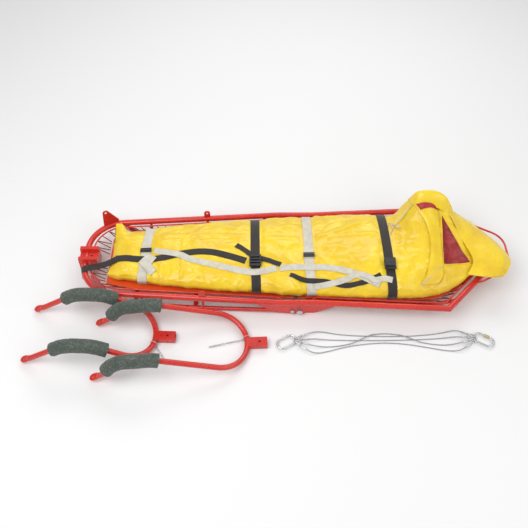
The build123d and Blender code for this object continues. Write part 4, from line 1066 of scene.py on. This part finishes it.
def mouth_lining():
    """The red lining inside the opening: steep below its near and left sides, gentle on the far side."""
    steps = LINING_STEPS
    corners, uvs, faces, index_of = [], [], [], {}
    first, second, third = (np.array(place) for place in MOUTH)
    middle = (first + second + third) / 3
    for row in range(steps + 1):
        for column in range(steps + 1 - row):
            a, b = row / steps, column / steps
            c = 1 - a - b
            place = first * c + second * a + third * b
            place = middle + (place - middle) * LINING_UNDERLAP
            up = height_on(whole_cover, *place)
            left_wall = min(1.0, a * 9.0)
            near_wall = min(1.0, b * 8.0)
            slope = (c ** 0.8) * 0.95
            wall = min(left_wall, near_wall)
            drop = LINING_DROP * wall * wall * (3 - 2 * wall) * slope
            pleat = LINING_PLEAT * wall * math.sin(11.0 * (a + 0.4 * b)) * slope
            index_of[row, column] = len(corners)
            corners.append(spot(*place, max(up * 1000 - 1.5 - drop + pleat, LINING_LOWEST)))
            uvs.append((float(place[0]) * MM, float(place[1]) * MM))
    for row in range(steps):
        for column in range(steps - row):
            faces.append((index_of[row, column], index_of[row + 1, column], index_of[row, column + 1]))
            if column < steps - row - 1:
                far_corner = index_of[row + 1, column + 1]
                faces.append((index_of[row + 1, column], far_corner, index_of[row, column + 1]))
    return new_mesh_object("hood_lining", corners, faces, bag_lining, uvs)


lining = mouth_lining()
apply_modifier(lining, "SOLIDIFY", thickness=0.0012, offset=-1.0)


# Cords and rolled hems: round curves along a line of places
CORD_RADIUS = 0.0025


def round_curve(name, points, radius, finish, resolution=8, cyclic=False):
    """A round cord or hem of one open or closed line."""
    curve = bpy.data.curves.new(name, "CURVE")
    curve.dimensions = "3D"
    curve.bevel_depth = radius
    curve.bevel_resolution = 3
    curve.resolution_u = resolution
    curve.use_fill_caps = True
    line = curve.splines.new("NURBS")
    line.points.add(len(points) - 1)
    for knot, point in zip(line.points, points):
        knot.co = (*point, 1)
    line.order_u = 3
    line.use_endpoint_u = not cyclic
    line.use_cyclic_u = cyclic
    curve.materials.append(finish)
    return show(name, curve)


def rolled_edge(name, points, radius, finish, cyclic=False):
    """A rolled hem, made a mesh."""
    piece = round_curve(name, points, radius, finish, 4, cyclic)
    select_only(piece)
    bpy.ops.object.convert(target="MESH")
    smooth(piece.data)
    return piece


EDGE_STEPS = 14
mouth_edge = []
for start, end in MOUTH_SIDES:
    for step in range(EDGE_STEPS):
        place = np.array(start) + (np.array(end) - np.array(start)) * step / EDGE_STEPS
        mouth_edge.append(spot(*over_cover(*place, 0.6)))
mouth_hem = rolled_edge("hood_mouth_hem", mouth_edge, 0.0032, bag_cloth, True)
throat_edge = [
    spot(*over_cover(x, y, 7.0)) for x, y in (
        (590, 196), (604, 166), (620, 138), (638, 112), (651, 88), (660, 50), (666, 10), (665, -22),
        (662, -55), (654, -96), (643, -138), (626, -190), (604, -220))
]
throat_hem = rolled_edge("hood_throat_hem", throat_edge, 0.0024, bag_cloth)
wing_edge = [
    spot(*place) for place in (
        (906, 186, 152), (952, 126, 148), (988, 86, 147), (1019, 46, 146), (1050, -10, 146),
        (1067, -68, 146), (1048, -116, 146), (1014, -166, 148), (980, -180, 154), (930, -178, 158),
        (890, -167, 151), (842, -151, 142))
]
wing_hem = rolled_edge("hood_wing_hem", wing_edge, 0.0028, bag_cloth)
for piece in (wing, throat, brim, brim_lining, lining, mouth_hem, throat_hem, wing_hem):
    settle(piece, "head_half", "bag_cloth")


# Drawcords of the hood
near_cord_points = [
    spot(*over_cover(x, y, lift)) for x, y, lift in (
        (714, -126, 5.0), (700, -138, 7.0), (684, -152, 7.0), (664, -166, 7.5), (644, -188, 7.5),
        (626, -206, 7.0), (606, -222, 7.0))
]
near_cord = round_curve("hood_drawcord_near", near_cord_points, CORD_RADIUS, pale_cord)
far_cord_points = [
    spot(*over_cover(x, y, lift)) for x, y, lift in (
        (504, 126, 6.0), (520, 142, 5.5), (540, 158, 5.5), (560, 170, 6.0), (580, 184, 7.0),
        (600, 194, 8.0), (616, 206, 8.0))
]
far_cord = round_curve("hood_drawcord_far", far_cord_points, CORD_RADIUS, pale_cord)

bow_points = [
    spot(*over_cover(x, y, lift)) for x, y, lift in (
        (506, 128, 7.5), (492, 140, 9.0), (474, 150, 9.0), (470, 132, 9.0), (488, 124, 10.0),
        (508, 128, 12.0), (526, 118, 10.0), (534, 102, 9.0), (516, 104, 9.0), (502, 122, 9.0),
        (492, 108, 7.0), (484, 90, 6.5), (480, 70, 6.0))
]
bow = rolled_edge("hood_bow", bow_points, 0.0022, pale_cord)
KNOT_TURNS = [index * 0.9 for index in range(9)]
knot_points = []
for turn in KNOT_TURNS:
    along, across = 606 + 5 * math.cos(turn), -222 + 5 * math.sin(turn)
    knot_points.append(spot(*over_cover(along, across, 6.0 + 2 * math.sin(2 * turn))))
cord_knot = rolled_edge("hood_cord_knot", knot_points, 0.0026, pale_cord)
for piece in (near_cord, far_cord, bow, cord_knot):
    settle(piece, "head_half", "cream_webbing")


# Bed sheets: stretched between the lacing, with a raised hem. The rails' places: along, across
rail_places = ((-1064.0, 219.0), (-90.0, 284.0), (90.0, 284.0), (732.0, 320.0), (960.0, 84.0))
HEM_OUT = 4.0
BED_MIDDLE, BED_SAG, HEM_RISE = 51.6, 1.0, 2.2
BED_CLOTH_THICK = 0.0018


def rail_across(along):
    """How far the middle of the rail is from the middle of the stretcher."""
    for (start, first), (end, second) in zip(rail_places, rail_places[1:]):
        if along <= end:
            return first + (second - first) * (along - start) / (end - start)
    return rail_places[-1][1]


def bed_piece(name, hem, body, node):
    """One half of the bed: a taut sheet that sags a little, through places along the hem and their insets."""
    columns, rows = 120, 60
    places = [float(along) for along, _ in hem]
    values = [rail_across(along) - inset for along, inset in hem]
    corners, faces, uvs = [], [], []
    for column in range(columns + 1):
        along = places[0] + (places[-1] - places[0]) * column / columns
        reach = float(np.interp(along, places, values)) + HEM_OUT
        for row in range(rows + 1):
            share = 2 * row / rows - 1
            across = reach * share
            edge = max(abs(share) ** 26, abs(2 * column / columns - 1) ** 60)
            up = BED_MIDDLE - BED_SAG * (1 - share * share) + HEM_RISE * edge
            corners.append(spot(along, across, up))
            uvs.append((along * MM, across * MM))
    for column in range(columns):
        for row in range(rows):
            first = column * (rows + 1) + row
            faces.append((first, first + rows + 1, first + rows + 2, first + 1))
    sheet = new_mesh_object(name, corners, faces, bed_cloth, uvs)
    apply_modifier(sheet, "SOLIDIFY", thickness=BED_CLOTH_THICK, offset=0.0)
    settle(sheet, body, "bed_sheet", node)


bed_piece("foot_bed_cloth", ((-950, 86), (-740, 56), (-14, 56)), "foot_half", "foot_bed")
bed_piece(
    "head_bed_cloth", ((14, 56), (600, 73), (690, 86), (800, 75), (885, 66)), "head_half", "head_bed",
)


# Shoulder pads: foam sleeves with a worn, dented skin
PAD_GRAIN = 0.0034


def worn_pad(node, body):
    """A foam sleeve over a yoke's tube, from its plain solid."""
    pad = show(f"{node}_sleeve", bpy.data.objects[node].data.copy())
    mesh = bmesh.new()
    mesh.from_mesh(pad.data)
    bmesh.ops.remove_doubles(mesh, verts=mesh.verts, dist=1e-5)
    mesh.to_mesh(pad.data)
    mesh.free()
    apply_modifier(pad, "REMESH", mode="VOXEL", voxel_size=PAD_GRAIN)
    for vertex in pad.data.vertices:
        dent = noise.noise(vertex.co * 26.0) * 1.3 + noise.noise(vertex.co * 90.0) * 0.7 - 0.8
        vertex.co += vertex.normal * dent * MM
    pad.data.materials.clear()
    pad.data.materials.append(pad_rubber)
    smooth(pad.data)
    pad.data.update()
    settle(pad, body, "pad_rubber", node)


for yoke in ("long", "short"):
    for side in ("near", "far"):
        worn_pad(f"pad_{yoke}_{side}", f"yoke_{yoke}")


# Wires of the bridle, each along its own route between the two karabiners
wire_routes = {
    1: (
        (125, -396, 2.7), (190, -412, 2.6), (310, -421, 2.6), (500, -424, 2.6), (640, -414, 2.6),
        (715, -400, 2.7),
    ),
    2: (
        (125, -441, 2.7), (190, -444, 2.6), (301, -446, 2.6), (500, -444, 2.6), (640, -438, 2.6),
        (712, -432, 2.7),
    ),
    3: (
        (125, -482, 2.7), (180, -480, 2.6), (250, -466, 2.8), (272, -460, 8.6), (352, -418, 8.6),
        (372, -411, 2.8), (430, -406, 2.6), (484, -413, 2.8), (504, -419, 8.6), (572, -450, 8.6),
        (592, -456, 2.8), (650, -468, 2.6), (712, -472, 2.7),
    ),
    4: (
        (98, -517, 2.7), (150, -505, 2.6), (240, -478, 2.6), (380, -458, 2.6), (500, -462, 2.6),
        (620, -484, 2.6), (690, -499, 2.6), (740, -505, 2.7),
    ),
}
fan = {1: 6.0, 2: 26.0, 3: 46.0, 4: 66.0}
LEFT_KARABINER, LEFT_TURN = (-52, -458), 30
RIGHT_KARABINER, RIGHT_TURN = (893, -446), -30
KARABINER_Z = 10.5
ARC_ALONG, ARC_ASIDE = 0.0245, 0.0025
FERRULE_END = 0.0872
WIRE_LEAD = 0.026
WIRE_RADIUS = 0.0025


def turned(way, degrees):
    """A level direction turned about the upright."""
    angle = math.radians(degrees)
    cosine, sine = math.cos(angle), math.sin(angle)
    return Vector((way.x * cosine - way.y * sine, way.x * sine + way.y * cosine, 0))


def ferrule_end(middle, turn, way, number):
    """Where a wire leaves its ferrule, and the way it goes."""
    along = turned(Vector((way, 0, 0)), turn)
    lower = turned(along, -90 * way)
    arc_middle = spot(*middle, KARABINER_Z) + along * ARC_ALONG + lower * ARC_ASIDE
    out = turned(along, -fan[number] * way)
    return arc_middle + out * FERRULE_END, out


for number, route in wire_routes.items():
    start, start_way = ferrule_end(LEFT_KARABINER, LEFT_TURN, 1, number)
    end, end_way = ferrule_end(RIGHT_KARABINER, RIGHT_TURN, -1, number)
    points = [start, start + start_way * WIRE_LEAD] + [spot(*place) for place in route]
    points += [end + end_way * WIRE_LEAD, end]
    wire = round_curve(f"bridle_wire_{number}", points, WIRE_RADIUS, wire_rope)
    settle(wire, "bridle", "wire_rope", f"wire_leg_{number}")


# Floor, light and camera
pale_floor = bpy.data.materials.new("pale_floor")
pale_floor.use_nodes = True
floor_gloss = pale_floor.node_tree.nodes["Principled BSDF"]
floor_gloss.inputs["Base Color"].default_value = (0.86, 0.86, 0.86, 1)
floor_gloss.inputs["Roughness"].default_value = 0.9
floor_corners = [(-8, -6, 0), (8, -6, 0), (8, 10, 0), (-8, 10, 0)]
new_mesh_object("floor", floor_corners, [(0, 1, 2, 3)], pale_floor)


def lamp(name, place, size, watts):
    """A soft lamp that looks at the middle of the object."""
    light = bpy.data.lights.new(name, "AREA")
    light.shape = "RECTANGLE"
    light.size, light.size_y = size
    light.energy = watts
    piece = show(name, light)
    piece.location = place
    piece.rotation_euler = (-Vector(place)).to_track_quat("-Z", "Y").to_euler()


lamp("key", (-1.6, -1.2, 3.2), (2.6, 2.0), 62)
lamp("fill", (2.4, -1.6, 2.4), (2.4, 2.0), 26)
lamp("back", (0.4, 2.6, 2.6), (3.0, 1.4), 34)

world = bpy.data.worlds.new("studio")
bpy.context.scene.world = world
world.use_nodes = True
world.node_tree.nodes["Background"].inputs["Color"].default_value = (1, 1, 1, 1)
world.node_tree.nodes["Background"].inputs["Strength"].default_value = 0.55

view = bpy.data.cameras.new("camera")
view.lens = 48.07
view.sensor_width = 36
camera = show("camera", view)
camera.location = (-0.045569, -2.065433, 2.897438)
camera.rotation_euler = (math.radians(38), 0, 0)
bpy.context.scene.camera = camera
bpy.context.scene.view_settings.view_transform = "Standard"
